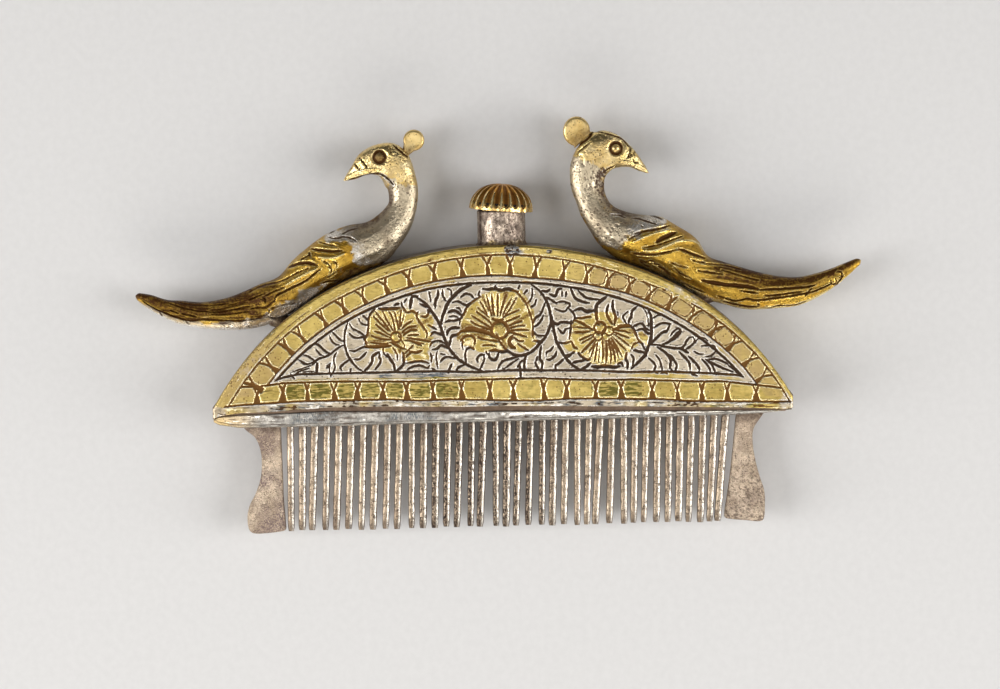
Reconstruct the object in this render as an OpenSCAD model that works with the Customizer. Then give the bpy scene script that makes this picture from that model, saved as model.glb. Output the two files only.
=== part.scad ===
// Perfume comb: a hollow arched flask of gilt silver on a row of teeth, with two cast peacocks
// on its edge and a stoppered neck. It lies on its back: X runs along the comb, Y from the
// teeth to the stopper and Z out of the engraved front.

/* [Flask] */
// width across the two lower corners
flask_width = 87.8; // [84:0.2:89]
// height of the crest above the line of the two lower corners
crest_height = 25.5; // [22:0.5:30]
// radius of the crown of the arch
crown_radius = 57.3; // [52:0.1:64]
// radius of the fuller shoulders of the arch
shoulder_radius = 43.8; // [40:0.1:48]
// angle from the crest at which the crown turns into the shoulder
shoulder_turn = 24; // [18:0.5:30]
// depth of the flask from back to front
flask_depth = 10; // [9:0.5:12]
// thickness of the front and back sheets
sheet = 0.9; // [0.6:0.1:1.2]
// thickness of the arched side wall
band_wall = 0.8; // [0.6:0.1:1.2]
// height of the base bar's flat inner face
bar_top = 1.9; // [1.7:0.1:2.4]
// height of the base bar's flat underside, where the teeth start
bar_foot = -0.6; // [-0.9:0.1:-0.5]
// how far the polished lip reaches back from the front
lip_depth = 1.7; // [1.2:0.1:2.5]

/* [Engraved front] */
// width of the plain gilt rim
rim_width = 1.5; // [1:0.1:2]
// distance from the edge to the inner side of the row of plaques
plaque_inset = 4.4; // [4:0.1:5]
// distance from the edge to the engraved field
field_inset = 5.4; // [5.1:0.1:6]
// height of the field's lower line at the middle
field_foot = 6.5; // [6:0.1:7]
// height of the lower plaques' top line at the middle
plaque_top = 5.15; // [4.8:0.05:5.4]
// height of the lower plaques' bottom line at the middle
plaque_foot = 2.2; // [1.8:0.05:2.6]
// tilt of the lines engraved along the base
border_tilt = -1.1; // [-2:0.1:1]
// width of an engraved line
line_width = 0.25; // [0.15:0.05:0.4]
// depth of an engraved line
line_depth = 0.2; // [0.1:0.05:0.4]
// plaques along the arch
arch_plaques = 26; // [20:1:32]
// plaques along the base
base_plaques = 21; // [16:1:26]

/* [Neck and stopper] */
// sideways place of the neck
neck_x = 0.4; // [-1:0.1:1]
// outside diameter of the neck
neck_d = 7.4; // [6.4:0.1:7.6]
// diameter of the neck's bore
bore_d = 6; // [4.8:0.1:6.2]
// height of the neck's mouth
mouth_height = 30.7; // [29:0.1:33]
// how far the neck reaches into the flask under the crest
neck_sunk = 1.6; // [1.2:0.1:2]
// diameter of the stopper's fluted dome
dome_d = 9.7; // [8.6:0.1:9.8]
// height of the dome
dome_height = 3.3; // [3:0.1:4.5]
// flutes round the dome
flutes = 20; // [14:1:26]
// depth of a flute
flute_depth = 0.45; // [0.2:0.05:0.7]
// angle by which the dome sits crooked on its plug
dome_lean = 5; // [0:0.5:6]
// length of the plug
plug_length = 4.6; // [3:0.1:5.5]

/* [Comb] */
// teeth in the row
teeth = 38; // [38]
// place of the first tooth's root
first_root = -32.4; // [-33:0.1:-32]
// place of the last tooth's root
last_root = 33.9; // [33.5:0.1:34.3]
// how far the middle teeth stand to the right of an even spacing
row_shift = 0.8; // [0:0.1:1]
// width of a tooth
tooth_width = 1; // [0.9:0.05:1.2]
// thickness of the teeth at the root, from back to front
tooth_deep = 1.7; // [1.2:0.1:2.2]
// height of the tips
tip_height = -17.7; // [-20:0.1:-15]

/* [Peacocks] */
// gap between a bird's belly and the arch
seat_gap = 0.12; // [0.08:0.02:0.3]
// sides of each section of a bird
bird_sides = 16; // [12:2:24]
// thickness of the crests
crest_deep = 1.5; // [1:0.1:2]

/* [Hidden] */
$fn = 96;
middle = flask_depth / 2;
band_deep = flask_depth - 2 * sheet;
crown_y = crest_height - crown_radius;
joint_gap = 0.05;
// gap between a tooth's root and the base bar
root_gap = 0.01;
// larger than the whole comb
far = 200;
// larger than any of its small pieces
near = 10;
// length of arch, from the crest, that carries plaques
arch_run = 50;
// length of the base that carries plaques
base_run = 84;
// distance from the middle within which the birds sit over the arch
seat_reach = 41;
// height of the stopper's disc, and its gap over the neck's mouth
disc_height = 0.5;
mouth_gap = 0.05;
// height of the flask's worn lower corners, and how far they are worn in
corner_foot = 0.1;
corner_wear = 1.2;
neck_foot = crest_height - neck_sunk;

// sideways lean of each tooth's tip, left to right
tooth_leans = [-0.3, -0.5, -0.9, -0.7, -0.9, -0.9, -0.8, -0.9, -0.8, -0.9, -0.5, -0.6, -0.6,
    -0.7, -0.9, -0.6, -1.0, -0.3, -0.6, -0.9, -0.8, -0.5, -0.7, -0.7, -0.4, -0.7, -1.2, -0.8,
    -0.3, -0.6, -0.8, -0.6, -0.6, -0.7, -0.9, -0.8, -1.1, -1.6];

// the hand-worked bar along the flask's foot: place, height of the groove above the lip, half
// the groove's width, height of the lip's lower edge
bar_rows = [
    [-43.0, 0.50, 0.02, -0.80],
    [-40.1, 0.82, 0.12, -1.31],
    [-35.5, 0.90, 0.15, -1.31],
    [-30.9, 1.08, 0.20, -1.33],
    [-26.4, 1.24, 0.25, -1.36],
    [-19.5, 1.15, 0.35, -1.28],
    [-8.1, 0.86, 0.35, -1.24],
    [1.1, 0.78, 0.35, -1.20],
    [14.8, 0.42, 0.35, -1.15],
    [21.6, 0.30, 0.30, -1.10],
    [28.5, 0.08, 0.25, -1.02],
    [35.3, -0.05, 0.20, -0.96],
    [39.9, -0.20, 0.12, -0.78],
    [42.5, -0.28, 0.02, -0.50]
];

// outline of each guard from its root down the outer side, along the tip and up to the root
guard_left_rows = [[-39.9, -0.65], [-39.3, -1.9], [-37.9, -3.1], [-37.2, -4.6], [-36.9, -6.6],
    [-37.1, -9.2], [-37.9, -11.6], [-38.9, -13.5], [-39.3, -15.3], [-39.1, -17.2],
    [-38.2, -17.9], [-36.2, -17.85], [-34.2, -17.6], [-33.5, -17.3], [-33.5, -16.2],
    [-33.7, -12.6], [-33.75, -8.8], [-33.9, -0.65]];
guard_right_rows = [[35.5, -0.65], [34.5, -9.2], [33.9, -13.2], [33.4, -16.2], [33.5, -17.05],
    [34.4, -17.25], [36.6, -17.5], [38.6, -17.75], [39.4, -17.2], [39.6, -14.8],
    [39.5, -12.9], [38.9, -10.9], [38.2, -8.0], [37.9, -5.4], [38.1, -3.5], [39.2, -1.8],
    [40.0, -0.65]];

// sections of each bird from the beak to the tip of the tail: outer point x and y along the
// nape, breast and belly, inner point x and y along the throat and back, half thickness, and
// how far the folded wing stands out there
left_rows = [
    [-23.2, 35.9, -23.2, 35.6, 0.3, 0],
    [-22.3, 37.5, -21.6, 35.8, 0.9, 0],
    [-20.9, 39.6, -20.1, 36.3, 1.5, 0],
    [-18.6, 40.9, -18.5, 36.4, 1.9, 0],
    [-15.7, 41.1, -17.6, 35.7, 2.1, 0],
    [-13.5, 39.3, -17.1, 34.6, 2.1, 0],
    [-12.3, 35.4, -16.7, 34.0, 2.0, 0],
    [-12.2, 32.6, -16.6, 32.3, 2.0, 0],
    [-12.8, 29.7, -17.3, 31.2, 2.2, 0],
    [-13.7, 27.6, -18.4, 30.2, 2.5, 0],
    [-15.4, 25.2, -20.2, 29.2, 2.8, 0.2],
    [-17.6, 22.9, -23.3, 28.7, 3.1, 0.45],
    [-21.0, 21.5, -26.5, 27.4, 3.3, 0.6],
    [-24.9, 19.6, -29.5, 25.3, 3.3, 0.6],
    [-28.4, 17.6, -31.6, 23.5, 3.1, 0.6],
    [-31.4, 15.9, -33.7, 21.2, 2.8, 0.5],
    [-34.3, 14.4, -36.6, 20.1, 2.5, 0.3],
    [-37.5, 13.5, -39.2, 19.0, 2.3, 0],
    [-41.0, 13.3, -42.0, 18.1, 2.1, 0],
    [-45.0, 13.6, -45.3, 17.6, 1.9, 0],
    [-48.6, 14.3, -48.2, 17.9, 1.7, 0],
    [-51.3, 15.5, -50.7, 18.1, 1.5, 0],
    [-53.4, 16.7, -53.1, 18.9, 1.2, 0],
    [-55.1, 18.0, -54.9, 19.1, 0.7, 0]
];
right_rows = [
    [22.7, 36.0, 22.7, 35.7, 0.3, 0],
    [21.8, 37.8, 21.4, 36.1, 0.9, 0],
    [20.5, 39.6, 19.9, 36.7, 1.5, 0],
    [18.3, 41.6, 18.0, 36.6, 1.9, 0],
    [15.7, 42.3, 17.0, 36.1, 2.1, 0],
    [13.1, 41.1, 16.3, 35.2, 2.1, 0],
    [11.2, 37.8, 16.1, 33.8, 2.0, 0],
    [11.0, 34.2, 16.3, 32.6, 2.0, 0],
    [11.8, 31.6, 16.9, 31.4, 2.2, 0],
    [12.5, 29.5, 17.8, 30.6, 2.5, 0],
    [13.9, 27.0, 19.4, 29.9, 2.8, 0.2],
    [15.5, 24.6, 21.7, 29.4, 3.1, 0.45],
    [18.3, 22.4, 24.4, 29.1, 3.3, 0.6],
    [21.8, 21.1, 27.4, 27.4, 3.3, 0.6],
    [25.4, 19.5, 29.8, 25.7, 3.1, 0.6],
    [28.6, 17.7, 31.6, 23.0, 2.8, 0.5],
    [31.0, 16.4, 33.9, 22.0, 2.5, 0.3],
    [33.7, 15.6, 36.3, 21.2, 2.3, 0],
    [37.2, 14.7, 39.2, 20.3, 2.1, 0],
    [41.0, 14.7, 42.2, 19.6, 1.9, 0],
    [45.2, 15.1, 45.2, 19.4, 1.7, 0],
    [48.4, 16.4, 48.0, 19.9, 1.5, 0],
    [51.5, 18.3, 50.6, 20.7, 1.2, 0],
    [54.6, 20.9, 54.0, 21.8, 0.7, 0]
];

// each crest's centre, half width and half height, the two ends of its root on the head, and
// the half width of its stem
left_crest = [[-12.6, 41.5], [1.6, 1.6], [[-14.26, 40.08], [-13.36, 39.34]], 0.9];
right_crest = [[12.1, 42.3], [2.05, 2.25], [[14.5, 42.42], [11.6, 39.85]], 0];

silver = [0.80, 0.77, 0.74];
gilt = [0.86, 0.72, 0.38];
dark_gilt = [0.62, 0.42, 0.14];

function tooth_name(i) = str("tooth_", i < 9 ? "0" : "", i + 1);

// smoothed closed line through a few points
function bend(a, b, c, d, t) = 0.5 * (2 * b + (c - a) * t + (2 * a - 5 * b + 4 * c - d) * t * t
    + (3 * b - a - 3 * c + d) * t * t * t);
function smooth(p, steps, last) = [for (i = [0:last - 1]) for (s = [0:steps - 1])
    bend(p[max(i - 1, 0)], p[i], p[i + 1], p[min(i + 2, last)], s / steps), p[last]];

// height of the arch's outer face over a place along the comb
shoulder_x = (crown_radius - shoulder_radius) * sin(shoulder_turn);
shoulder_y = crown_y + (crown_radius - shoulder_radius) * cos(shoulder_turn);
turn_x = crown_radius * sin(shoulder_turn);
function arch_height(x) = abs(x) <= turn_x
    ? crown_y + sqrt(pow(crown_radius, 2) - x * x)
    : shoulder_y + sqrt(max(0, pow(shoulder_radius, 2) - pow(abs(x) - shoulder_x, 2)));

// D-shaped area inside the arch, taken in by inset
module arch_area(inset) {
    intersection() {
        translate([0, crown_y]) circle(r = crown_radius - inset);
        translate([0, crown_y]) polygon([[0, 0], turn_point(-1), turn_point(1)]);
    }
    for (side = [-1, 1])
        intersection() {
            translate([side * shoulder_x, shoulder_y]) circle(r = shoulder_radius - inset);
            translate([0, crown_y]) polygon([[0, 0], turn_point(side), [side * far, far],
                [side * far, -far], [0, -far]]);
            worn_ends(inset);
        }
}

// area between the flask's two ends, with the lower corners worn off
module worn_ends(inset) {
    half = flask_width / 2 - inset;
    polygon([[-half, far], [-half, corner_foot + 0.3], [-half + corner_wear, bar_foot],
        [-half + corner_wear, -far], [half - corner_wear, -far], [half - corner_wear, bar_foot],
        [half, corner_foot + 0.3], [half, far]]);
}

function turn_point(side) = far * [side * sin(shoulder_turn), cos(shoulder_turn)];

// area above a straight line at a height
module above(height) {
    translate([-far / 2, height]) square([far, far]);
}

// area between two heights
module between(low, high) {
    translate([-far / 2, low]) square([far, high - low]);
}

// front sheet's outline, whose foot follows the groove above the lip
module front_area() {
    intersection() {
        arch_area(0);
        polygon(concat([[-far, far], [-far, corner_foot], [-flask_width / 2 + 0.4, corner_foot]],
            [for (r = bar_rows) [r[0], r[1] + r[2]]],
            [[flask_width / 2, -corner_foot], [far, corner_foot], [far, far]]));
    }
}

// band of the front between two distances from the arch, down to a height
module arch_strip(outer, inner, foot) {
    intersection() {
        difference() {
            arch_area(outer);
            arch_area(inner);
        }
        rotate(border_tilt) above(foot);
    }
}

// point on the arch at a length along it from the crest, taken in by inset
function arch_point(length, inset) =
    let (side = sign(length), run = abs(length), crown_run = crown_radius * shoulder_turn * PI / 180)
    run <= crown_run
    ? let (a = run / crown_radius * 180 / PI)
        [side * (crown_radius - inset) * sin(a), crown_y + (crown_radius - inset) * cos(a)]
    : let (a = shoulder_turn + (run - crown_run) / shoulder_radius * 180 / PI)
        [side * (shoulder_x + (shoulder_radius - inset) * sin(a)),
            shoulder_y + (shoulder_radius - inset) * cos(a)];

// cut between two plaques of the arch
module arch_cut(length) {
    a = arch_point(length, rim_width + line_width / 2);
    b = arch_point(length, plaque_inset - line_width / 2);
    bar(a, b, line_width);
}

// straight flat stroke from a to b
module bar(a, b, width) {
    way = b - a;
    translate(a) rotate(atan2(way[1], way[0])) translate([0, -width / 2])
        square([norm(way), width]);
}

module front_plate() {
    color(gilt) difference() {
        translate([0, 0, flask_depth - sheet]) linear_extrude(sheet) front_area();
        translate([0, 0, flask_depth - line_depth]) linear_extrude(1) {
            arch_strip(rim_width, rim_width + line_width, plaque_foot);
            arch_strip(plaque_inset - line_width, plaque_inset, plaque_top);
            arch_strip(field_inset, field_inset + line_width, field_foot);
            for (i = [1:arch_plaques - 1])
                arch_cut(arch_run * (2 * i / arch_plaques - 1));
            base_line(rim_width, plaque_foot);
            base_line(plaque_inset, plaque_top + line_width);
            base_line(field_inset, field_foot);
            rotate(border_tilt) for (i = [1:base_plaques - 1])
                translate([base_run * (i / base_plaques - 0.5) - line_width / 2, plaque_foot])
                    square([line_width, plaque_top - plaque_foot]);
        }
    }
}

// line along the base, from arch to arch
module base_line(inset, top) {
    intersection() {
        arch_area(inset);
        rotate(border_tilt) between(top - line_width, top);
    }
}

module back_plate() {
    color(silver) linear_extrude(sheet) intersection() {
        arch_area(0);
        above(bar_foot);
    }
}

module edge_band() {
    color(dark_gilt) translate([0, 0, sheet]) difference() {
        linear_extrude(band_deep) intersection() {
            difference() {
                arch_area(0);
                arch_area(band_wall);
            }
            above(bar_top);
        }
        translate([neck_x, crest_height - near / 2, middle - sheet]) rotate([-90, 0, 0])
            cylinder(d = neck_d + 2 * joint_gap, h = near);
    }
}

function lip_top(r) = [r[0], r[1] - r[2]];

module base_bar() {
    color(silver) {
        translate([0, 0, sheet]) linear_extrude(band_deep) intersection() {
            arch_area(0);
            between(bar_foot, bar_top);
        }
        translate([0, 0, flask_depth - lip_depth]) linear_extrude(lip_depth)
            polygon(concat([[-flask_width / 2, -0.2], [-flask_width / 2 + 0.5, -0.6]],
                [for (r = bar_rows) [r[0], r[3]]], [[flask_width / 2 - 0.7, -0.35]],
                [for (i = [len(bar_rows) - 1:-1:0]) lip_top(bar_rows[i])],
                [[-flask_width / 2 + 0.4, corner_foot - joint_gap]]));
    }
}

module neck() {
    color(silver) translate([neck_x, neck_foot, middle]) rotate([-90, 0, 0])
        difference() {
            cylinder(d = neck_d, h = mouth_height - neck_foot);
            translate([0, 0, -1]) cylinder(d = bore_d, h = mouth_height - neck_foot + 2);
        }
}

// places the stopper's parts on the neck's mouth, with up along +Z
module on_mouth(lean) {
    translate([neck_x, mouth_height + mouth_gap + dome_d / 2 * sin(dome_lean), middle])
        rotate([0, 0, -lean]) rotate([-90, 0, 0]) children();
}

// dome with flutes that die out at the top, its rows of points run from the rim up
module fluted_dome(radius, height, sink) {
    around = 8 * flutes;
    rows = 9;
    fullness = 0.9;
    rim_sink = 0.4;
    deepening = 3;
    points = [for (r = [0:rows - 1]) for (s = [0:around - 1])
        let (rise = 90 * r / rows, turn = 360 * s / around,
            groove = sink * (0.5 - 0.5 * cos(turn * flutes)) * cos(rise)
                * min(1, rim_sink + r / deepening),
            out = (radius - groove) * pow(cos(rise), fullness))
        [out * cos(turn), out * sin(turn), height * sin(rise)]];
    top = len(points);
    polyhedron(concat(points, [[0, 0, height], [0, 0, 0]]), concat(
        [for (r = [0:rows - 2]) for (s = [0:around - 1]) let (n = (s + 1) % around)
            each [[r * around + s, (r + 1) * around + s, (r + 1) * around + n],
                [r * around + s, (r + 1) * around + n, r * around + n]]],
        [for (s = [0:around - 1]) let (n = (s + 1) % around)
            each [[(rows - 1) * around + s, top, (rows - 1) * around + n], [s, n, top + 1]]]));
}

module stopper_cap() {
    color(dark_gilt) on_mouth(dome_lean) translate([0, 0, disc_height + 0.02])
        fluted_dome(dome_d / 2, dome_height, flute_depth);
}

module stopper_disc() {
    color(silver) on_mouth(dome_lean) cylinder(d = dome_d - 0.7, h = disc_height);
}

module stopper_plug() {
    plug_d = bore_d - 4 * joint_gap;
    top = mouth_height + mouth_gap + (dome_d - plug_d) / 2 * sin(dome_lean) - 0.02;
    foot = mouth_height - plug_length;
    color(silver) translate([neck_x, foot, middle]) rotate([-90, 0, 0])
        cylinder(d = plug_d, h = top - foot);
}

// tooth of eight-sided section from its root to its worn tip
module tooth(i) {
    even = first_root + (last_root - first_root) * i / (teeth - 1);
    off = (i - (teeth - 1) / 2) / ((teeth - 1) / 2);
    root = even + row_shift * (1 - off * off);
    lean = tooth_leans[i];
    wide = tooth_width / 2;
    deep = tooth_deep / 2;
    // sideways place, height, half width and half thickness of each section
    rows = [
        [root, bar_foot - root_gap, wide, deep],
        [root + lean / 2, (bar_foot + tip_height) / 2, wide - 0.02, deep - 0.1],
        [root + lean, tip_height + 0.35, wide - 0.05, deep - 0.2],
        [root + lean, tip_height, wide - 0.2, deep - 0.35]
    ];
    corners = [[1, 0.7], [0.75, 1], [-0.75, 1], [-1, 0.7], [-1, -0.7], [-0.75, -1], [0.75, -1],
        [1, -0.7]];
    sides = len(corners);
    last = len(rows) - 1;
    points = [for (r = rows) for (c = corners) [r[0] + c[0] * r[2], r[1], middle + c[1] * r[3]]];
    color(silver) polyhedron(points, concat(
        [[for (s = [sides - 1:-1:0]) s]],
        [for (k = [0:last - 1]) for (s = [0:sides - 1]) let (n = (s + 1) % sides)
            [k * sides + s, k * sides + n, (k + 1) * sides + n, (k + 1) * sides + s]],
        [[for (s = [0:sides - 1]) last * sides + s]]));
}

module guard(rows) {
    color(silver) translate([0, 0, middle - tooth_deep / 2]) linear_extrude(tooth_deep)
        polygon(smooth(rows, 4, len(rows) - 1));
}

module guard_left() {
    guard(guard_left_rows);
}

module guard_right() {
    guard(guard_right_rows);
}

// lowest height that a belly may have over a place along the comb
function rest_y(x) = abs(x) < seat_reach ? arch_height(x) + seat_gap : 0;

// outer point of a section, kept clear of the arch
function lifted(r) = [r[0], max(r[1], rest_y(r[0]))];

function power(v, k) = sign(v) * pow(abs(v), k);

// sections joined into a closed skin
module bird(rows) {
    rings = [for (r = rows) let (outer = lifted(r), inner = [r[2], r[3]],
            centre = (outer + inner) / 2, half = (outer - inner) / 2)
        for (s = [0:bird_sides - 1]) let (turn = 360 * s / bird_sides,
            along = power(cos(turn), 0.8), deep = power(sin(turn), 0.8),
            stand = along < 0.5 && along > -0.95 ? r[5] : 0)
        [centre[0] + half[0] * along, centre[1] + half[1] * along,
            middle + (r[4] + stand) * deep]];
    last = len(rows) - 1;
    order = rows[0][0] < 0 ? 1 : -1;
    faces = concat(
        [[for (s = [0:bird_sides - 1]) s]],
        [for (k = [0:last - 1]) for (s = [0:bird_sides - 1]) let (n = (s + 1) % bird_sides)
            each [[k * bird_sides + s, (k + 1) * bird_sides + s, (k + 1) * bird_sides + n],
                [k * bird_sides + s, (k + 1) * bird_sides + n, k * bird_sides + n]]],
        [[for (s = [bird_sides - 1:-1:0]) last * bird_sides + s]]);
    color(gilt) polyhedron(rings, order > 0 ? faces : [for (f = faces) turned(f)]);
}

function turned(face) = [for (i = [len(face) - 1:-1:0]) face[i]];

module peacock_left() {
    bird(left_rows);
}

module peacock_right() {
    bird(right_rows);
}

// flat crest: an oval cut off by the line of its root, with a stem where it stands off the head
module crest(rows) {
    way = rows[2][1] - rows[2][0];
    long = norm(way);
    color(gilt) translate([0, 0, middle - crest_deep / 2]) linear_extrude(crest_deep)
        intersection() {
            union() {
                translate(rows[0]) scale([1, rows[1][1] / rows[1][0]]) circle(r = rows[1][0]);
                if (rows[3] > 0)
                    polygon([rows[2][0], rows[2][1], rows[0] + way / long * rows[3],
                        rows[0] - way / long * rows[3]]);
            }
            translate(rows[2][0]) rotate(atan2(way[1], way[0]))
                translate([-near / 2, cut_side(rows)]) square([near, near]);
        }
}

// the crest stands on the side of its root line where its centre is
function cut_side(rows) =
    let (way = rows[2][1] - rows[2][0], to = rows[0] - rows[2][0])
    way[0] * to[1] - way[1] * to[0] > 0 ? 0 : -near;

module crest_left() {
    crest(left_crest);
}

module crest_right() {
    crest(right_crest);
}

front_plate();
back_plate();
edge_band();
base_bar();
neck();
stopper_cap();
stopper_disc();
stopper_plug();
guard_left();
guard_right();
peacock_left();
peacock_right();
crest_left();
crest_right();
for (i = [0:teeth - 1]) tooth(i);
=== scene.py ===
"""Perfume comb: the looks of a hollow, arched flask of parcel-gilt silver on a row of teeth.

The engraved front, the two cast peacocks and every other worked surface are built here round
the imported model. Sizes in the tables and classes are in millimetres where nothing else is said,
in the comb's own frame: X runs along the comb, Y from the teeth to the stopper and Z out of the
engraved front.
"""

import logging
import math
from dataclasses import dataclass, field
from enum import Enum
from functools import partial
from typing import Callable, NamedTuple

import bmesh
import bpy
import numpy as np
from mathutils import Matrix, Vector


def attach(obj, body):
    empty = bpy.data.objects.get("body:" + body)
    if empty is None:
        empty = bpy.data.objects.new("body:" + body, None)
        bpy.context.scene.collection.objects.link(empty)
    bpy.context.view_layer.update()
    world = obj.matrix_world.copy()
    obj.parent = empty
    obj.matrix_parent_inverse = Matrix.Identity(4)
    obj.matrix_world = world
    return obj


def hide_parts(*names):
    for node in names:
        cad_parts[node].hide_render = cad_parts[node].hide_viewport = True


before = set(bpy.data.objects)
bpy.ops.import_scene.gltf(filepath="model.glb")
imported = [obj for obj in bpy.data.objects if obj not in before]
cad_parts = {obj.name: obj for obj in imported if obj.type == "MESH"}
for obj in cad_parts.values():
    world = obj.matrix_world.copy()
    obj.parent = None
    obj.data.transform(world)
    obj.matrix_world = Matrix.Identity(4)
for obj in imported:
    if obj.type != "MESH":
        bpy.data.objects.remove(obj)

LOG = logging.getLogger("perfume_comb")
MM = 0.001
Points = np.ndarray
Pair = tuple[float, float]
Triple = tuple[float, float, float]
Colour = Triple
Part = tuple[slice, slice]
WHOLE = (slice(None), slice(None))
Object = bpy.types.Object
Material = bpy.types.Material
Tree = bpy.types.NodeTree
Socket = bpy.types.NodeSocket


class Body(Enum):
    """The two bodies that pieces ride on."""

    COMB = "comb"
    STOPPER = "stopper"


class Slot(Enum):
    """The record's material slots."""

    GILT = "gilt"
    SILVER = "silver"
    AGED_GILT = "aged_gilt"


class Side(Enum):
    """The two birds, by where they stand as the front is seen."""

    LEFT = -1
    RIGHT = 1


class Stroke(NamedTuple):
    """One stroke of a graver or a chasing tool."""

    raised: bool
    width: float
    points: Points


@dataclass(frozen=True)
class Line:
    """A line that is known at a few places and straight between them."""

    rows: Points

    def __call__(self, place: Points) -> Points:
        """Its height or inset at some places."""
        return np.interp(place, self.rows[:, 0], self.rows[:, 1])


def table(text: str) -> Points:
    """Reads a small table of numbers.

    Args:
        text: pairs or rows of numbers, commas inside a row and spaces between rows.

    Returns:
        One row of the array for each row of the table.
    """
    return np.array([[float(v) for v in row.split(",")] for row in text.split()])


def chart(text: str) -> Points:
    """Reads an outline in tenths of a millimetre."""
    return table(text) / 10


def strokes(text: str) -> list[Stroke]:
    """Reads a chart of strokes.

    Args:
        text: a line for each stroke: its width in hundredths of a millimetre, with + before a raised
            one, then its points in tenths.

    Returns:
        The strokes in order.
    """
    found = []
    for line in text.strip().splitlines():
        width, points = line.split(maxsplit=1)
        found.append(Stroke(width.startswith("+"), float(width) / 100, chart(points)))
    return found


# Millimetre tables: x along the comb, y up, and run along the arch from its crest
RIM_LINE = Line(table("""
    -46,1.9 -40,1.85 -24,1.8 -12,1.5 0,1.4 12,1.55 24,1.6 28.6,1.4 33.2,1.2 38.9,1 44.6,0.8 48,0.8
"""))
PLAQUE_LINE = Line(table("""
    -43.9,5 -36.2,4.7 -24,4.4 -15,4.2 0,4.5 5,4.8 13,4.6 21,4.1 28.6,4 35.5,3.8 43.9,3.5
"""))
FIELD_LINE = Line(table("""
    -43.9,5.6 -32.4,5.5 -24.8,5.3 -12,5.2 0,5.6 10,5.5 20,5.2 28.6,5 36.2,4.8 43.9,4.6
"""))
FIELD_FOOT = Line(table("""
    -35.1,5.6 -33.3,6.2 -30.8,6.7 -21.7,6.7 -17.1,6.7 -10.2,6.7 -3.4,6.4 1.2,6.6 12.6,6.3 19.5,5.9
    24.1,5.9 30.9,5.5 35.5,5.1 37.1,4.7
"""))
STRIP_FOOT = Line(table("""
    -42.3,5 -36.6,5 -33.1,5.4 -26.3,5.5 -12.6,5.2 -8,5.3 -1.1,5.3 5.8,5.3 10.3,5 14.9,4.8 19.5,4.8
    28.6,4.3 33.2,4.2 38.6,3.5 43,2.9
"""))
PLAQUE_FOOT = Line(table("""
    -42.3,2 -40,2.2 -35.5,2.4 -30.9,2.6 -25.3,2.6 -17.2,2.6 -12.6,2.3 -8,2.4 1.1,2 5.7,1.9 10.2,2.1
    14.8,2 24,1.7 28.5,1.3 42.2,0.9
"""))
# Where the plaques are parted, as run along the arch and as x along the base
ARCH_CUTS = (-45.7, -41.6, -37.6, -34.6, -30.0, -26.2, -22.6, -18.6, -14.7, -10.6, -6.1, -2.0, 1.65, 5.8,
             10.3, 14.0, 17.5, 21.0, 24.6, 28.2, 32.3, 36.5, 40.2, 43.9, 47.2)
BASE_CUTS = (-37.1, -33.2, -29.5, -25.5, -21.9, -18.1, -14.5, -10.5, -6.2, -1.9, 1.6, 6.2, 9.7, 14.1,
             17.9, 22.6, 26.4, 30.1, 33.9, 38.3)
# Outline of a worn plaque, in shares of its width and of its height
WORN_CELL = table("0.2,0.14 0.5,0.08 0.82,0.16 0.9,0.5 0.78,0.86 0.45,0.92 0.2,0.84 0.12,0.5 0.2,0.12")
# Bosses in the flowers: centre, radius, height. The petals below share their centres, in order
KNOBS = (((-15.9, 12.0), 0.7, 0.12), ((-0.2, 12.7), 1.15, 0.16), ((14.9, 12.7), 0.75, 0.14),
         ((16.3, 12.2), 0.6, 0.12), ((14.6, 11.5), 0.6, 0.12))
SOLDER_SPOT = (1.9, 24.7)
CHIP = (7.55, 24.4)
# Grey films on the lip: from x, to x, strength
LIP_FILMS = ((-32.5, -24.9, 0.8), (-18.0, -9.6, 0.7), (11.7, 14.8, 1.0), (22, 27, 0.35))
# The bar's front: x, middle and half height of its groove, lower edge of its lip
BAR_ROWS = table("""
    -43,0.5,0.02,-0.8 -40.1,0.82,0.12,-1.31 -35.5,0.9,0.15,-1.31 -30.9,1.08,0.2,-1.33
    -26.4,1.24,0.25,-1.36 -19.5,1.15,0.35,-1.28 -8.1,0.86,0.35,-1.24 1.1,0.78,0.35,-1.2
    14.8,0.42,0.35,-1.15 21.6,0.3,0.3,-1.1 28.5,0.08,0.25,-1.02 35.3,-0.05,0.2,-0.96
    39.9,-0.2,0.12,-0.78 42.5,-0.28,0.02,-0.5
""")
# How far each tooth's tip stands to the right of its root
TOOTH_LEANS = table("""
    -0.3 -0.5 -0.9 -0.7 -0.9 -0.9 -0.8 -0.9 -0.8 -0.9 -0.5 -0.6 -0.6 -0.7 -0.9 -0.6 -1.0 -0.3 -0.6 -0.9
    -0.8 -0.5 -0.7 -0.7 -0.4 -0.7 -1.2 -0.8 -0.3 -0.6 -0.8 -0.6 -0.6 -0.7 -0.9 -0.8 -1.1 -1.6
""")[:, 0]
# Outline of each guard, from its root down and back up
GUARD_LEFT = table("""
    -39.9,-0.65 -39.3,-1.9 -37.9,-3.1 -37.2,-4.6 -36.9,-6.6 -37.1,-9.2 -37.9,-11.6 -38.9,-13.5
    -39.3,-15.3 -39.1,-17.2 -38.2,-17.9 -36.2,-17.85 -34.2,-17.6 -33.5,-17.3 -33.5,-16.2 -33.7,-12.6
    -33.75,-8.8 -33.9,-0.65
""")
GUARD_RIGHT = table("""
    35.5,-0.65 34.5,-9.2 33.9,-13.2 33.4,-16.2 33.5,-17.05 34.4,-17.25 36.6,-17.5 38.6,-17.75 39.4,-17.2
    39.6,-14.8 39.5,-12.9 38.9,-10.9 38.2,-8 37.9,-5.4 38.1,-3.5 39.2,-1.8 40,-0.65
""")
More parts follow.
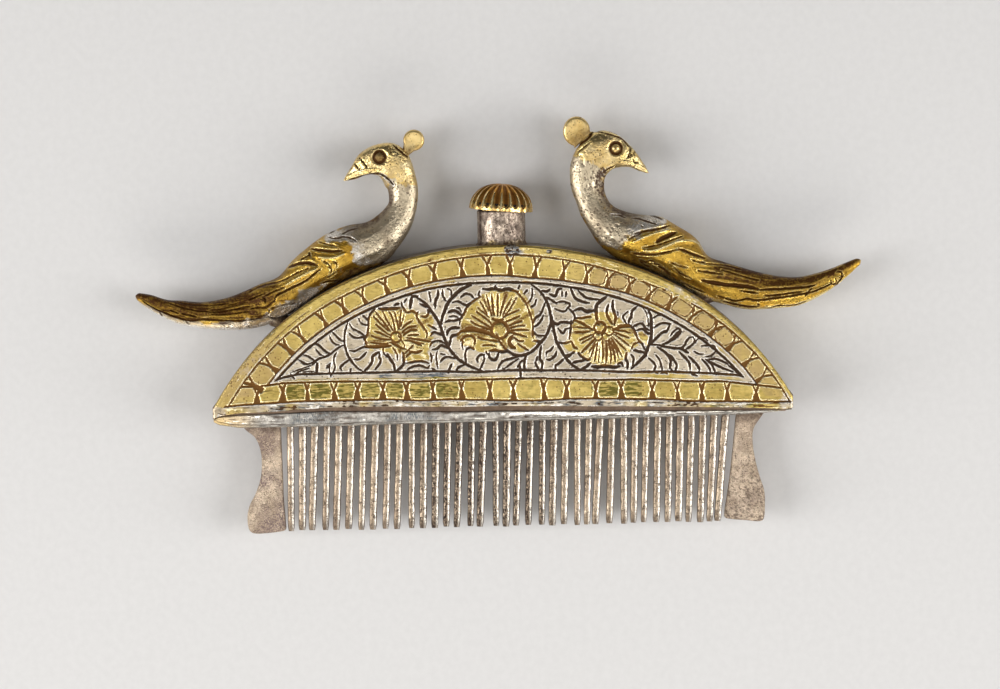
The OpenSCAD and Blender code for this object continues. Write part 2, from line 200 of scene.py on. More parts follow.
# Each bird from the beak to the tip of the tail: outer x and y, inner x and y, half thickness, wing
LEFT_SECTIONS = table("""
    -23.45,35.75,-23.4,35.5,0.3,0 -22.3,37.5,-21.6,35.8,0.9,0 -20.9,39.6,-20.1,36.3,1.5,0
    -18.6,40.9,-18.5,36.4,1.9,0 -15.7,41.1,-17.6,35.7,2.1,0 -13.5,39.3,-17.1,34.6,2.1,0
    -12.3,35.4,-16.7,34,2,0 -12.2,32.6,-16.6,32.3,2,0 -12.8,29.7,-17.3,31.2,2.2,0
    -13.7,27.6,-18.4,30.2,2.5,0 -15.4,25.2,-20.2,29.2,2.8,0.2 -17.6,22.9,-23.3,28.7,3.1,0.45
    -21,21.5,-26.5,27.4,3.3,0.6 -24.9,19.6,-29.5,25.3,3.3,0.6 -28.4,17.6,-31.6,23.5,3.1,0.6
    -31.4,15.9,-33.7,21.2,2.8,0.5 -34.3,14.4,-36.6,20.1,2.5,0.3 -37.5,13.5,-39.2,19,2.3,0
    -41,13.3,-42,18.1,2.1,0 -45,13.6,-45.3,17.6,1.9,0 -48.6,14.3,-48.2,17.9,1.7,0
    -51.3,15.5,-50.7,18.1,1.5,0 -53.4,16.7,-53.1,18.9,1.2,0 -55.55,18.3,-55.35,19.3,0.7,0
""")
RIGHT_SECTIONS = table("""
    22.95,35.85,22.9,35.6,0.3,0 21.8,37.8,21.4,36.1,0.9,0 20.5,39.6,19.9,36.7,1.5,0 18.3,41.6,18,36.6,1.9,0
    15.7,42.3,17,36.1,2.1,0 13.1,41.1,16.3,35.2,2.1,0 11.2,37.8,16.1,33.8,2,0 11,34.2,16.3,32.6,2,0
    11.8,31.6,16.9,31.4,2.2,0 12.5,29.5,17.8,30.6,2.5,0 13.9,27,19.4,29.9,2.8,0.2
    15.5,24.6,21.7,29.4,3.1,0.45 18.3,22.4,24.4,29.1,3.3,0.6 21.8,21.1,27.4,27.4,3.3,0.6
    25.4,19.5,29.8,25.7,3.1,0.6 28.6,17.7,31.6,23,2.8,0.5 31,16.4,33.9,22,2.5,0.3
    33.7,15.6,36.3,21.2,2.3,0 37.2,14.7,39.2,20.3,2.1,0 41,14.7,42.2,19.6,1.9,0
    45.2,15.1,45.2,19.4,1.7,0 48.4,16.4,48,19.9,1.5,0 51.5,18.3,50.6,20.7,1.2,0 55.1,21.4,54.6,22.2,0.7,0
""")
# The outlines and strokes below are in tenths of a millimetre, and the strokes' widths in hundredths
PETALS = {
    "left_flower": """
        -192,162 -144,164 -132,162 -122,153 -112,156 -103,152 -102,139 -107,130 -104,117 -107,105
        -114,96 -109,87 -125,83 -146,83 -150,97 -161,93 -185,102 -199,101 -207,107 -205,120 -201,132
        -200,147
    """,
    "middle_flower": """
        -63,130 -58,150 -50,163 -39,174 -28,181 -13,188 4,186 18,186 29,189 36,181 43,170 49,157 52,144
        49,129 51,117 56,109 43,96 28,93 10,98 -3,94 -33,94 -59,106 -68,117
    """,
    "right_flower": """
        107,137 116,143 144,151 157,150 169,151 184,135 195,130 202,121 211,103 203,97 192,88 183,77
        171,70 154,69 139,72 125,80 115,90 100,93 92,102 105,119
    """,
    "right_bud": """
        208,121 219,118 223,110 220,99 211,103 205,113
    """,
}
LEFT_SILVER = (
    """
    -192,363 -155,359 -143,351 -123,352 -119,327 -123,289 -136,259 -152,233 -167,221 -213,219 -225,235
    -224,259 -235,264 -258,265 -264,274 -250,284 -227,292 -193,295 -175,310 -165,328 -171,351
    """,
    """
    -301,191 -264,202 -278,190 -290,177 -306,174
    """,
    """
    -349,157 -336,167 -306,173 -309,165 -324,159 -330,155
    """,
    """
    -421,134 -410,146 -382,147 -380,136 -398,133
    """,
)
RIGHT_SILVER = (
    """
    108,383 126,383 141,373 156,365 165,367 157,352 160,329 170,309 193,302 231,298 252,287 238,276
    215,271 199,262 184,241 171,238 153,248 131,279 112,314
    """,
)
LEFT_SADDLE = "-231,223 -205,228 -170,234 -155,239 -149,227 -183,213 -229,198 -252,202"
RIGHT_SADDLE = "147,251 163,249 175,244 199,235 229,219 256,203 304,168 289,165 213,210 153,226"
LEFT_NECK = "-160,365 -120,365 -120,300 -145,245 -190,225 -220,240 -200,290 -166,310"
RIGHT_NECK = "110,385 160,370 162,326 180,302 210,286 190,250 160,245 126,290 110,330"
RIGHT_THROAT = "152,370 166,365 160,325 146,330"
# Each line is a stroke: its width, with + before a raised one, then its points
TANGLES = """
20 -362,42 -346,45
20 28,69 44,62
"""
FIELD_WORK = {
    "left_spray": """
30 -230,148 -236,129 -237,117 -236,105 -232,93 -225,82 -218,74 -210,69
27 -237,110 -246,106 -263,94 -274,91 -283,86 -294,82 -303,86 -309,91
18 -280,85 -291,79 -319,70
26 -256,131 -244,118 -237,116
24 -260,125 -257,118 -252,112 -245,110
30 -283,113 -277,111 -265,100 -257,97
21 -281,105 -278,100 -272,95 -266,93
26 -300,96 -293,94 -282,86
23 -305,88 -297,82 -288,84
24 -249,99 -253,92 -254,84 -252,77 -255,69 -259,63
23 -259,83 -261,75 -259,62
37 -261,80 -265,76
40 -279,83 -280,68
27 -231,87 -238,82 -244,76 -242,71
27 -228,74 -230,68
18 -321,70 -314,60
15 -302,70 -290,71 -281,69
26 -229,142 -225,135 -211,127 -205,121
26 -230,128 -225,122 -217,120 -206,122
26 -230,101 -222,100 -214,104 -207,106 -197,105
26 -223,88 -216,88 -210,92 -204,98
24 -215,149 -212,143 -207,140 -201,139
23 -209,154 -205,151 -201,146
30 -208,121 -203,108
34 -208,70 -201,76 -196,84 -195,91 -188,97 -184,98
29 -192,71 -183,84 -185,90 -184,97
21 -314,66 -306,71 -291,76
""",
    "left_flower": """
27 -190,160 -167,129
24 -193,153 -171,130
23 -189,140 -174,127 -168,123
23 -192,130 -183,127 -168,119
23 -196,123 -186,119 -167,116
21 -198,113 -178,110 -168,112
40 -207,107 -193,106 -167,107
24 -178,159 -174,149 -163,129
24 -169,159 -164,149 -160,129
24 -161,159 -158,149 -155,131
26 -150,160 -152,150 -153,131
20 -146,154 -151,136
27 -134,144 -142,140 -151,131
27 -128,136 -137,135 -145,131 -150,126
26 -126,130 -136,130 -144,126 -148,122
24 -124,123 -135,123 -142,121
26 -107,112 -144,119
21 -117,109 -139,114
27 -168,113 -152,104 -143,101
27 -133,107 -146,95
34 -120,99 -129,96 -137,97 -144,90
40 -184,164 -173,163 -152,164
34 -161,168 -153,171
29 -150,173 -148,165 -143,159
43 -134,180 -137,163
23 -141,178 -146,172
29 -147,161 -141,157 -134,159 -128,155 -126,147 -113,127 -113,118
40 -128,153 -125,157
24 -122,170 -111,164
29 -121,151 -113,150 -109,156 -111,161
30 -189,163 -195,158 -199,150 -201,129 -205,120 -206,111
23 -178,107 -179,98 -173,90
26 -165,105 -158,93 -158,85
23 -147,115 -138,114 -120,106
18 -156,123 -147,108 -147,102
""",
    "left_leaves": """
26 -111,138 -97,130
30 -107,121 -101,126 -88,121
27 -109,104 -104,111 -95,113 -86,109
30 -105,100 -97,101 -91,106 -79,100
27 -93,81 -87,87 -79,88 -71,85
34 -81,64 -78,73 -75,78
30 -70,65 -66,72 -58,75
29 -54,78 -55,89 -54,97 -49,101
24 -58,116 -59,107 -58,99
27 -145,80 -123,83 -110,79
30 -144,70 -133,75 -123,76 -113,72 -109,76
37 -173,95 -169,87 -164,80 -162,69
37 -149,97 -148,80 -153,74 -160,68
27 -108,95 -106,88 -107,81
24 -97,97 -99,88 -97,71
21 -93,93 -85,92
20 -107,72 -101,69
""",
    "left_stem": """
38 -130,182 -115,171 -108,163 -97,146 -92,136 -85,114 -80,102 -73,92 -64,83 -53,76 -41,70 -28,65
43 -90,138 -88,149 -79,170 -65,185 -57,191 -44,196
26 -108,189 -105,172
37 -94,190 -94,181 -98,174 -99,163
30 -87,190 -87,181 -82,173
24 -81,192 -74,188 -75,178
27 -121,169 -111,164
34 -135,181 -124,181
""",
    "middle_leaves": """
29 -60,178 -53,183 -46,182 -40,176
29 -73,170 -65,172 -57,168 -50,166 -36,176
34 -80,155 -72,158 -64,155 -58,148
24 -78,149 -70,150 -64,147
30 -84,141 -78,143 -69,143 -61,146
40 -82,121 -80,128 -73,132 -63,132
34 -78,105 -77,114 -74,120 -66,122 -60,127
23 -68,162 -62,161 -59,154
40 -26,190 -17,189 -7,190 1,187 12,189 27,184
30 -8,190 -7,195
30 27,189 30,194
30 -31,187 -33,181 -30,177
30 -32,177 -42,171 -51,163 -55,154 -60,147 -63,137
27 41,187 36,181
27 48,189 48,178 44,170 39,166
29 54,172 51,164 45,161
30 68,168 60,150 53,145 49,138 47,129
30 64,148 61,141 56,135 50,131
27 47,125 54,118 63,117 70,118
30 48,110 61,108
""",
    "middle_flower": """
40 -62,126 -48,128 -32,126 -19,122 -13,117
20 -54,131 -43,132 -19,125
26 -46,142 -37,136 -17,128
23 -44,150 -16,131
26 -37,156 -18,141 -14,134
18 -35,162 -17,146
26 -31,171 -20,151
26 -21,181 -14,149
17 -25,174 -18,155
32 -13,182 -12,161 -10,150
29 -4,182 -5,149
29 9,180 5,170 -1,149
26 17,175 6,156 2,147
24 24,175 13,157 6,149
23 28,157 10,150 2,145
26 29,148 6,139
26 32,140 23,138 10,132
26 36,133 26,133 11,129
26 42,126 30,127 10,126
30 38,116 10,125
34 -14,145 -6,142 4,143
40 2,139 7,135 10,129 10,122 5,117
49 17,118 12,111 14,103 21,99
26 18,117 25,111 34,110
26 24,106 41,95
27 24,185 37,169 41,160 47,141 48,129 47,120 49,112
21 -8,123 -2,109 4,101
30 -62,112 -54,119 -45,119 -40,113 -42,104
26 -36,117 -27,114 -4,110
27 -54,99 -47,102 -41,98
23 -30,104 -19,105 -8,103
40 -19,96 -10,97 -3,95 8,94
34 -19,93 -18,85 -10,82 -6,89 -4,95
30 -36,79 -37,85 -32,90 -26,90
30 -27,90 -27,81 -33,69
23 -24,96 -21,90
""",
    "spiral": """
37 47,195 56,188 63,180 69,170 73,159 75,147 75,135 67,116 52,99 43,92 31,88 19,89 8,96 1,104 -4,112
38 69,170 74,156 82,112 88,98 95,85 102,76 111,68 120,64
30 25,86 4,81 -2,76 -6,69 -7,64
26 26,83 17,78 3,68
37 1,69 5,65
30 31,81 23,70
34 27,75 28,55
37 37,87 34,80 34,64
27 54,86 50,74
30 50,77 56,65
34 60,102 57,83 61,76 59,63
27 79,101 74,95 68,92 67,86
30 83,93 80,86 73,81 67,81
30 94,82 87,75 81,71 82,63
34 62,185 70,184 75,187
34 74,180 83,177 87,186 93,188
27 93,184 93,175
30 100,183 98,175
27 69,176 85,165
27 84,167 95,168 103,165 104,161 99,156
26 81,158 93,153 100,155
34 78,140 84,134 91,137 97,137 106,135
27 85,128 93,120 97,126 103,128
27 86,107 94,105 106,108
27 96,87 104,88 111,93
23 99,83 106,88
""",
    "right_flower": """
30 103,157 110,149 111,141 107,135
37 111,154 121,157 130,152 143,154
27 116,157 119,154
30 111,143 120,142 131,144 137,144
34 111,139 120,136 138,124
29 106,140 104,120 102,110
34 106,189 109,180 114,172 124,167 134,165
30 117,184 123,178 132,172 149,170
20 113,129 134,127
26 111,122 123,121 135,123
27 117,109 137,117
21 120,104 140,115
30 120,90 143,112
20 131,89 143,108
23 134,82 142,103
29 140,77 146,107
20 146,75 148,96
23 151,75 153,87 152,109
29 157,73 159,86 158,108
26 164,73 165,84 164,96 161,108
29 171,76 170,87 167,99 162,111
23 177,81 170,101 165,111
23 182,83 166,113
23 188,92 167,114
23 193,99 176,113 169,117
26 193,111 170,120
23 195,118 183,122 172,123
34 195,128 184,128 167,123
30 175,129 193,130 201,122 207,104
30 106,108 109,100 115,96
34 115,91 122,83 130,79 134,82
34 107,75 114,77 124,78
37 119,64 128,69 135,75
43 135,69 145,68 155,69 168,67 178,68
27 174,71 180,74 183,68
40 151,116 158,125
29 140,130 142,123 147,117
27 142,132 146,136 154,135 158,130
""",
    "right_stem": """
43 161,175 152,168 145,161 144,150 145,139 148,132
37 163,162 160,153 161,145 168,132
40 170,168 169,157 172,148 173,140 171,131
27 192,151 185,144 186,138 190,131
34 206,158 198,151 197,143 193,137 193,130
40 221,156 226,145 227,134 226,111 219,90 214,81 195,64
18 215,155 220,147 222,136 222,125
30 199,127 206,131 213,132 218,125 225,121
30 205,122 213,124 219,119 227,115
30 204,113 207,107 213,100 216,92
24 196,94 200,101 206,104
34 199,92 214,88 219,83
37 189,89 187,80 190,72 189,64
30 195,86 199,78 197,67
23 176,151 177,145
""",
    "right_spray": """
34 226,101 242,117 250,120 254,128
37 245,119 251,119
27 230,140 242,145 259,135
29 231,125 239,131 248,132 257,130
34 243,100 252,103 260,110 269,120
26 255,112 260,119 268,123 271,118 266,111 258,105
30 226,100 237,99 249,96 269,93 276,97 279,103 284,109 290,110
34 269,94 282,86
27 290,109 291,101 278,91
17 293,101 298,108 306,108 312,103
26 302,96 312,97 321,95 323,88 316,81 308,80
20 290,89 298,84 305,84
29 221,80 227,75 232,67 230,61 235,56
29 232,84 238,76 243,57
34 235,96 244,90 252,82 255,73 254,64 259,58
32 252,85 259,77 264,68 261,58
32 267,89 281,74 284,66 284,58
32 282,81 296,66 298,57
30 302,76 308,70 313,62 315,54
29 307,76 315,70 320,61 323,52
29 307,76 331,63 349,56
26 310,75 322,76 332,73 341,68
20 340,68 358,52
23 239,56 245,57 250,55
23 286,54 295,51
""",
}
LEFT_WORK = """
26 -208,390 -196,374
24 -216,382 -213,377 -208,372
+37 -231,360 -210,370 -194,373 -182,373
27 -228,356 -207,362 -182,366 -167,359 -158,348
23 -216,284 -227,281 -238,276
+34 -215,288 -230,285 -245,280 -255,275
26 -258,272 -247,270 -235,272 -224,270 -216,265
+24 -252,264 -241,267 -230,267 -220,262
21 -245,285 -251,280 -258,276
40 -284,255 -254,251 -238,252
+27 -285,261 -270,257 -238,254
21 -273,265 -244,258
+69 -274,243 -260,241 -248,242 -234,247
24 -252,236 -246,232 -247,226
27 -259,231 -254,223 -257,217
24 -268,237 -260,233
24 -247,220 -254,214 -262,211
27 -300,239 -286,247
+34 -299,244 -290,249
+40 -310,237 -300,237
+37 -287,241 -280,236
30 -287,250 -286,243
49 -320,227 -304,233 -289,234 -275,230
+23 -292,230 -308,224 -323,216 -338,210 -354,206 -392,190
27 -289,226 -305,220 -320,212 -335,206 -363,199 -381,190
+76 -277,225 -295,217 -325,201
35 -271,225 -283,215 -296,206 -334,188 -340,183 -342,176
+27 -346,199 -371,192 -382,186
23 -354,191 -369,184 -397,175 -419,171
23 -326,198 -342,192 -354,186 -363,180
+30 -331,192 -343,189 -351,184
30 -362,185 -356,180 -357,173
+46 -360,177 -357,175
27 -379,166 -367,168 -355,168 -341,179
+30 -376,160 -364,158 -352,160
27 -352,158 -344,167 -304,174
30 -379,154 -364,153 -352,157
37 -350,152 -340,150 -327,153 -318,159 -306,164
27 -247,206 -261,205 -271,202
+46 -259,202 -296,175
+24 -385,184 -395,181 -405,180
+24 -389,180 -400,177 -409,176
+24 -388,175 -403,172 -420,171 -438,168
24 -382,177 -420,167 -441,165
24 -373,171 -419,163 -443,161
24 -379,162 -419,158 -440,159
27 -349,154 -375,150 -398,148 -451,151 -474,150 -512,163 -534,174 -543,181
+27 -455,155 -439,156
20 -459,152 -443,152
+27 -505,172 -490,168
+34 -487,167 -461,158
26 -484,161 -462,155
23 -501,166 -489,161
+34 -536,174 -527,170 -518,164
27 -518,164 -514,157
27 -478,150 -475,144
27 -386,145 -382,137
+27 -545,190 -546,180
20 -412,175 -435,172 -466,173 -491,178
20 -435,163 -458,164 -480,169 -504,177
+20 -420,178 -446,176 -473,178
34 -157,408 -136,390
21 -162,406 -160,394
"""
RIGHT_WORK = """
26 201,400 201,392 199,386 196,381
23 196,381 204,386 211,392
+30 199,379 207,383 213,381
23 205,380 208,373 213,375
21 145,422 157,421 183,413 192,407 199,399 204,395
+18 157,424 174,421 188,415 198,407
37 116,396 139,413 145,422
23 122,391 142,407
+34 174,371 190,376 208,373 225,363
27 157,358 165,364 176,369
30 203,290 215,288 239,280
+27 202,293 218,291 243,282
+21 216,300 246,290
21 223,296 238,291 249,286
+34 209,273 238,279 253,284
34 204,267 222,271 238,273 259,278
23 195,258 204,263 215,267
21 215,280 218,275
+61 202,254 222,263 242,269 261,273
27 217,246 233,248 248,252 277,262
70 237,254 251,261 267,267
+70 217,241 237,242 269,254 286,255 300,251 307,240
35 200,238 222,235 242,236 268,242
43 269,243 280,240 290,235 311,227
+30 284,229 307,224
23 290,226 302,222 310,221
26 215,227 221,223 229,226 237,222
26 212,227 218,220 229,215
24 232,221 241,219 246,215
43 240,216 249,211 257,203
+30 208,231 214,223 223,216 235,212
+34 252,218 257,210 267,202
23 262,215 274,205 289,197
21 256,224 269,218 284,214
+27 294,213 325,209
29 299,209 337,202
+27 334,212 348,207 381,198
26 335,209 381,194 393,192
61 305,194 338,187 377,182 391,178
+34 324,196 376,187
26 362,177 391,172
+24 398,200 413,198
+26 399,193 420,191
+30 397,183 419,181 463,185
34 393,177 457,179 477,182
+30 399,173 414,172 446,175
27 400,169 414,168 457,173
29 328,170 345,164 357,161 373,164 383,162 398,162 463,170 490,178 504,185
34 337,160 372,152 391,151
21 407,148 421,152 445,152 465,158
37 389,156 392,154
24 501,189 504,182 510,185 509,192
24 511,201 518,201 518,194 513,192
30 507,177 521,195
+27 483,201 497,203
+34 472,185 486,190 498,196
24 462,166 473,178
21 427,200 457,197 488,202 518,212
21 305,220 336,216 366,208
+46 289,179 309,171 322,164
24 274,192 292,182 310,175
23 170,296 182,295 191,291
"""


def unit(value: Points) -> Points:
    """The value held between 0 and 1."""
    return np.clip(value, 0, 1)


def ease(low: float, high: float, value: Points) -> Points:
    """Eases from 0 at low to 1 at high."""
    t = unit((value - low) / (high - low))
    return t * t * (3 - 2 * t)


def bell(value: Points) -> Points:
    """A smooth hump, 1 at 0 and almost nothing past 2."""
    return np.exp(-value ** 2)


def fillet(radius: float, gap: Points) -> Points:
    """How far a round edge has fallen at a distance in from it."""
    return radius - np.sqrt(np.maximum(0, radius ** 2 - np.clip(radius - gap, 0, radius) ** 2))


def quarter(count: int) -> Points:
    """Steps round a quarter turn, in radians."""
    return np.radians(np.linspace(0, 90, count))


def between(x: Points, foot: Points, head: Points, share: Points) -> tuple[Points, Points]:
    """Fills the space between two lines with a grid.

    Args:
        x: places along the comb.
        foot: the lower line's height at each.
        head: the upper line's height at each.
        share: the grid's shares of the way up.

    Returns:
        Grids of x and y.
    """
    return np.repeat(x[:, None], len(share), 1), foot[:, None] + share * (head - foot)[:, None]


def lattice(x: Points, y: Points, seed: int) -> Points:
    """Smooth noise on a lattice of unit cells.

    Args:
        x: places across, in cells.
        y: places up, in cells.
        seed: which of the fixed patterns.

    Returns:
        Values from -1 to 1.
    """
    values = np.random.default_rng(seed).uniform(-1, 1, (128, 128))
    column, row = np.floor(x).astype(int), np.floor(y).astype(int)
    u, v = x - column, y - row
    u, v = u * u * (3 - 2 * u), v * v * (3 - 2 * v)
    a = values[row & 127, column & 127]
    b = values[row & 127, (column + 1) & 127]
    c = values[(row + 1) & 127, column & 127]
    d = values[(row + 1) & 127, (column + 1) & 127]
    return a + (b - a) * u + (c - a) * v + (a - b - c + d) * u * v


def rough(x: Points, y: Points, grain: float, seed: int) -> Points:
    """Three octaves of lattice noise with the coarsest cells as wide as grain."""
    return (lattice(x / grain, y / grain, seed) + 0.5 * lattice(2.1 * x / grain, 2.1 * y / grain, seed + 1)
            + 0.25 * lattice(4.3 * x / grain, 4.3 * y / grain, seed + 2)) / 1.75


def flowing(points: Points, steps: int) -> Points:
    """Smooth line through a few points or rows.

    Args:
        points: the rows to pass through, of any width.
        steps: how many pieces each span is cut into.

    Returns:
        The rows along the smooth line, ends included.
    """
    padded = np.vstack([points[:1], points, points[-1:]])
    t = (np.arange(steps) / steps)[:, None]
    out = []
    for a, b, c, d in zip(padded[:-3], padded[1:-2], padded[2:-1], padded[3:]):
        out.append(0.5 * (2 * b + (c - a) * t + (2 * a - 5 * b + 4 * c - d) * t ** 2
                          + (3 * b - a - 3 * c + d) * t ** 3))
    return np.vstack(out + [points[-1:]])


def evenly(rows: Points, spacing: float, columns: int = 2) -> Points:
    """Resamples rows at an even spacing along their first columns.

    Args:
        rows: one row for each place, in order.
        spacing: the distance wanted between places.
        columns: how many columns the distance is measured in.

    Returns:
        The new rows, three at least.
    """
    walked = np.concatenate([[0], np.cumsum(np.linalg.norm(np.diff(rows[:, :columns], axis=0), axis=1))])
    count = max(3, int(round(walked[-1] / spacing)) + 1)
    places = np.linspace(0, walked[-1], count)
    return np.stack([np.interp(places, walked, rows[:, k]) for k in range(rows.shape[1])], axis=1)


def inside(x: Points, y: Points, outline: Points) -> Points:
    """Which places lie inside a closed outline.

    Args:
        x: places along the comb.
        y: places up it.
        outline: the corners in order.

    Returns:
        True for each place that lies inside.
    """
    found = np.zeros(x.shape, bool)
    for (ax, ay), (bx, by) in zip(outline, np.roll(outline, -1, axis=0)):
        if ay == by:
            continue
        crosses = (ay > y) != (by > y)
        found ^= crosses & (x < (bx - ax) * (y - ay) / (by - ay) + ax)
    return found


def rounded_ring(half_wide: float, half_deep: float, radius: float, around: int) -> Points:
    """Points round a rectangle with round corners, evenly spaced, against the clock.

    Args:
        half_wide: half its width.
        half_deep: half its depth.
        radius: of the corners, cut down where the rectangle is too narrow.
        around: how many points.

    Returns:
        An array of around rows of two.
    """
    radius = min(radius, half_wide * 0.98, half_deep * 0.98)
    corners = []
    for k, (sx, sy) in enumerate(((1, 1), (-1, 1), (-1, -1), (1, -1))):
        turn = np.radians(90 * k + np.linspace(0, 90, 9))
        corners.append(np.stack([sx * (half_wide - radius) + radius * np.cos(turn),
                                 sy * (half_deep - radius) + radius * np.sin(turn)], axis=1))
    ring = np.vstack(corners + [corners[0][:1]])
    return evenly(ring, np.linalg.norm(np.diff(ring, axis=0), axis=1).sum() / around)[:around]


def add(name: str, data: bpy.types.ID) -> Object:
    """Puts a new object in the scene."""
    made = bpy.data.objects.new(name, data)
    bpy.context.scene.collection.objects.link(made)
    return made


def mark(mesh: bpy.types.Mesh, values: dict[str, Points]) -> None:
    """Stores named values on a mesh's points."""
    for key, numbers in values.items():
        mesh.attributes.new(key, "FLOAT", "POINT").data.foreach_set("value", numbers.astype(np.float32))


@dataclass
class Skin:
    """Points and faces of a mesh being built, with what is painted on its points."""

    points: Points
    faces: list[tuple[int, ...]]
    paint: dict[str, Points] = field(default_factory=dict)

    def piece(self, name: str, finish: Material, sharp_deg: float = 70) -> Object:
        """Makes the mesh an object.

        Args:
            name: the piece's name.
            finish: its material.
            sharp_deg: edges that turn by more than this stay sharp.

        Returns:
            The object, in metres.
        """
        mesh = bpy.data.meshes.new(name)
        mesh.from_pydata((self.points * MM).tolist(), [], self.faces)
        mesh.polygons.foreach_set("use_smooth", np.ones(len(mesh.polygons), bool))
        mark(mesh, self.paint)
        mesh.set_sharp_from_angle(angle=math.radians(sharp_deg))
        mesh.materials.append(finish)
        mesh.update()
        return add(name, mesh)

    def joined(self, other: "Skin") -> "Skin":
        """This skin and another as one mesh.

        Args:
            other: the skin to add, unpainted where it lacks a layer of this one.

        Returns:
            The two skins together.
        """
        moved = [tuple(i + len(self.points) for i in face) for face in other.faces]
        plain = np.zeros(len(other.points))
        paint = {key: np.concatenate([self.paint[key], other.paint.get(key, plain)]) for key in self.paint}
        return Skin(np.vstack([self.points, other.points]), self.faces + moved, paint)


def slab(top: Points, floor: float, paint: dict[str, Points]) -> Skin:
    """Closed solid between a grid of points and a flat floor under it.

    Args:
        top: n by m grid of points, whose m direction turns left from its n direction.
        floor: height of the flat underside.
        paint: named n by m grids of values for the points.

    Returns:
        The closed skin.
    """
    n, m = top.shape[:2]
    index = np.arange(n * m).reshape(n, m)
    quads = np.stack([index[:-1, :-1], index[1:, :-1], index[1:, 1:], index[:-1, 1:]], -1).reshape(-1, 4)
    rim = np.concatenate([index[:, 0], index[-1, 1:], index[-2::-1, -1], index[0, -2:0:-1]])
    under = top.reshape(-1, 3)[rim].copy()
    under[:, 2] = floor
    low = n * m + np.arange(len(rim))
    walls = np.stack([rim, low, np.roll(low, -1), np.roll(rim, -1)], -1)
    near, far_side = low[:n], low[n + m - 2:2 * n + m - 2][::-1]
    first = [*low[2 * n + m - 2:], near[0], near[1], far_side[1], far_side[0]]
    last = [near[-2], near[-1], *low[n:n + m - 2], far_side[-1], far_side[-2]]
    middle = np.stack([near[1:-2], far_side[1:-2], far_side[2:-1], near[2:-1]], -1)
    faces = [tuple(f) for f in quads.tolist() + walls.tolist() + middle.tolist()]
    faces += [tuple(int(i) for i in first[::-1]), tuple(int(i) for i in last[::-1])]
    points = np.vstack([top.reshape(-1, 3), under])
    spread = {key: np.concatenate([grid.ravel(), grid.ravel()[rim]]) for key, grid in paint.items()}
    return Skin(points, faces, spread)


def loft(rings: Points, paint: dict[str, Points], poles: bool = True) -> Skin:
    """Closed skin over rings of points.

    Args:
        rings: n rings of m points.
        paint: named n by m grids of values for the points.
        poles: whether each end is drawn together to a point. If not, the last ring meets the first.

    Returns:
        The closed skin.
    """
    n, m = rings.shape[:2]
    index = np.arange(n * m).reshape(n, m)
    if not poles:
        index = np.vstack([index, index[:1]])
    after = np.roll(index, -1, axis=1)
    quads = np.stack([index[:-1], after[:-1], after[1:], index[1:]], -1).reshape(-1, 4)
    faces = [tuple(f) for f in quads.tolist()]
    if not poles:
        return Skin(rings.reshape(-1, 3), faces, {key: grid.ravel() for key, grid in paint.items()})
    start, end = n * m, n * m + 1
    faces += [(start, int(b), int(a)) for a, b in zip(index[0], after[0])]
    faces += [(end, int(a), int(b)) for a, b in zip(index[-1], after[-1])]
    points = np.vstack([rings.reshape(-1, 3), rings[0].mean(0), rings[-1].mean(0)])
    spread = {key: np.concatenate([grid.ravel(), [grid[0].mean(), grid[-1].mean()]])
              for key, grid in paint.items()}
    return Skin(points, faces, spread)


@dataclass(frozen=True)
class Arch:
    """The flask's outline: a crown between two fuller shoulders."""

    width: float = 87.8
    crest: float = 25.5
    crown_radius: float = 57.3
    shoulder_radius: float = 43.8
    turn: float = math.radians(24)

    @property
    def crown_y(self) -> float:
        """Height of the crown's centre."""
        return self.crest - self.crown_radius

    @property
    def crown_run(self) -> float:
        """Length along the crown from the crest to the shoulder."""
        return self.crown_radius * self.turn

    @property
    def shoulder(self) -> Pair:
        """Centre of the right shoulder."""
        reach = self.crown_radius - self.shoulder_radius
        return reach * math.sin(self.turn), self.crown_y + reach * math.cos(self.turn)

    def places(self, x: Points, y: Points) -> tuple[Points, Points]:
        """Finds points by the arch.

        Args:
            x: places along the comb.
            y: heights.

        Returns:
            Length along the arch from the crest, and distance in from the edge.
        """
        sx, sy = self.shoulder
        crown_angle = np.arctan2(np.abs(x), y - self.crown_y)
        side_angle = np.arctan2(np.abs(x) - sx, y - sy)
        crown = crown_angle <= self.turn
        run = np.where(crown, self.crown_radius * crown_angle,
                       self.crown_run + self.shoulder_radius * (side_angle - self.turn))
        inset = np.where(crown, self.crown_radius - np.hypot(x, y - self.crown_y),
                         self.shoulder_radius - np.hypot(np.abs(x) - sx, y - sy))
        return np.sign(x) * run, inset

    def point(self, run: Points, inset: Points) -> tuple[Points, Points]:
        """Turns places by the arch back into x and y.

        Args:
            run: distance along the arch from its crest.
            inset: distance in from the arch.

        Returns:
            The x and the y of each place.
        """
        sx, sy = self.shoulder
        length = np.abs(run)
        crown = length <= self.crown_run
        angle = np.where(crown, length / self.crown_radius,
                         self.turn + (length - self.crown_run) / self.shoulder_radius)
        radius = np.where(crown, self.crown_radius, self.shoulder_radius) - inset
        x = np.where(crown, 0, sx) + radius * np.sin(angle)
        return np.sign(run) * x, np.where(crown, self.crown_y, sy) + radius * np.cos(angle)

    def height(self, x: Points) -> Points:
        """Height of the arch's edge over a place along the comb.

        Args:
            x: places along the comb.

        Returns:
            The height over each place.
        """
        sx, sy = self.shoulder
        crown = np.abs(x) <= self.crown_radius * math.sin(self.turn)
        return np.where(crown, self.crown_y + np.sqrt(np.maximum(0, self.crown_radius ** 2 - x * x)),
                        sy + np.sqrt(np.maximum(0, self.shoulder_radius ** 2 - (np.abs(x) - sx) ** 2)))


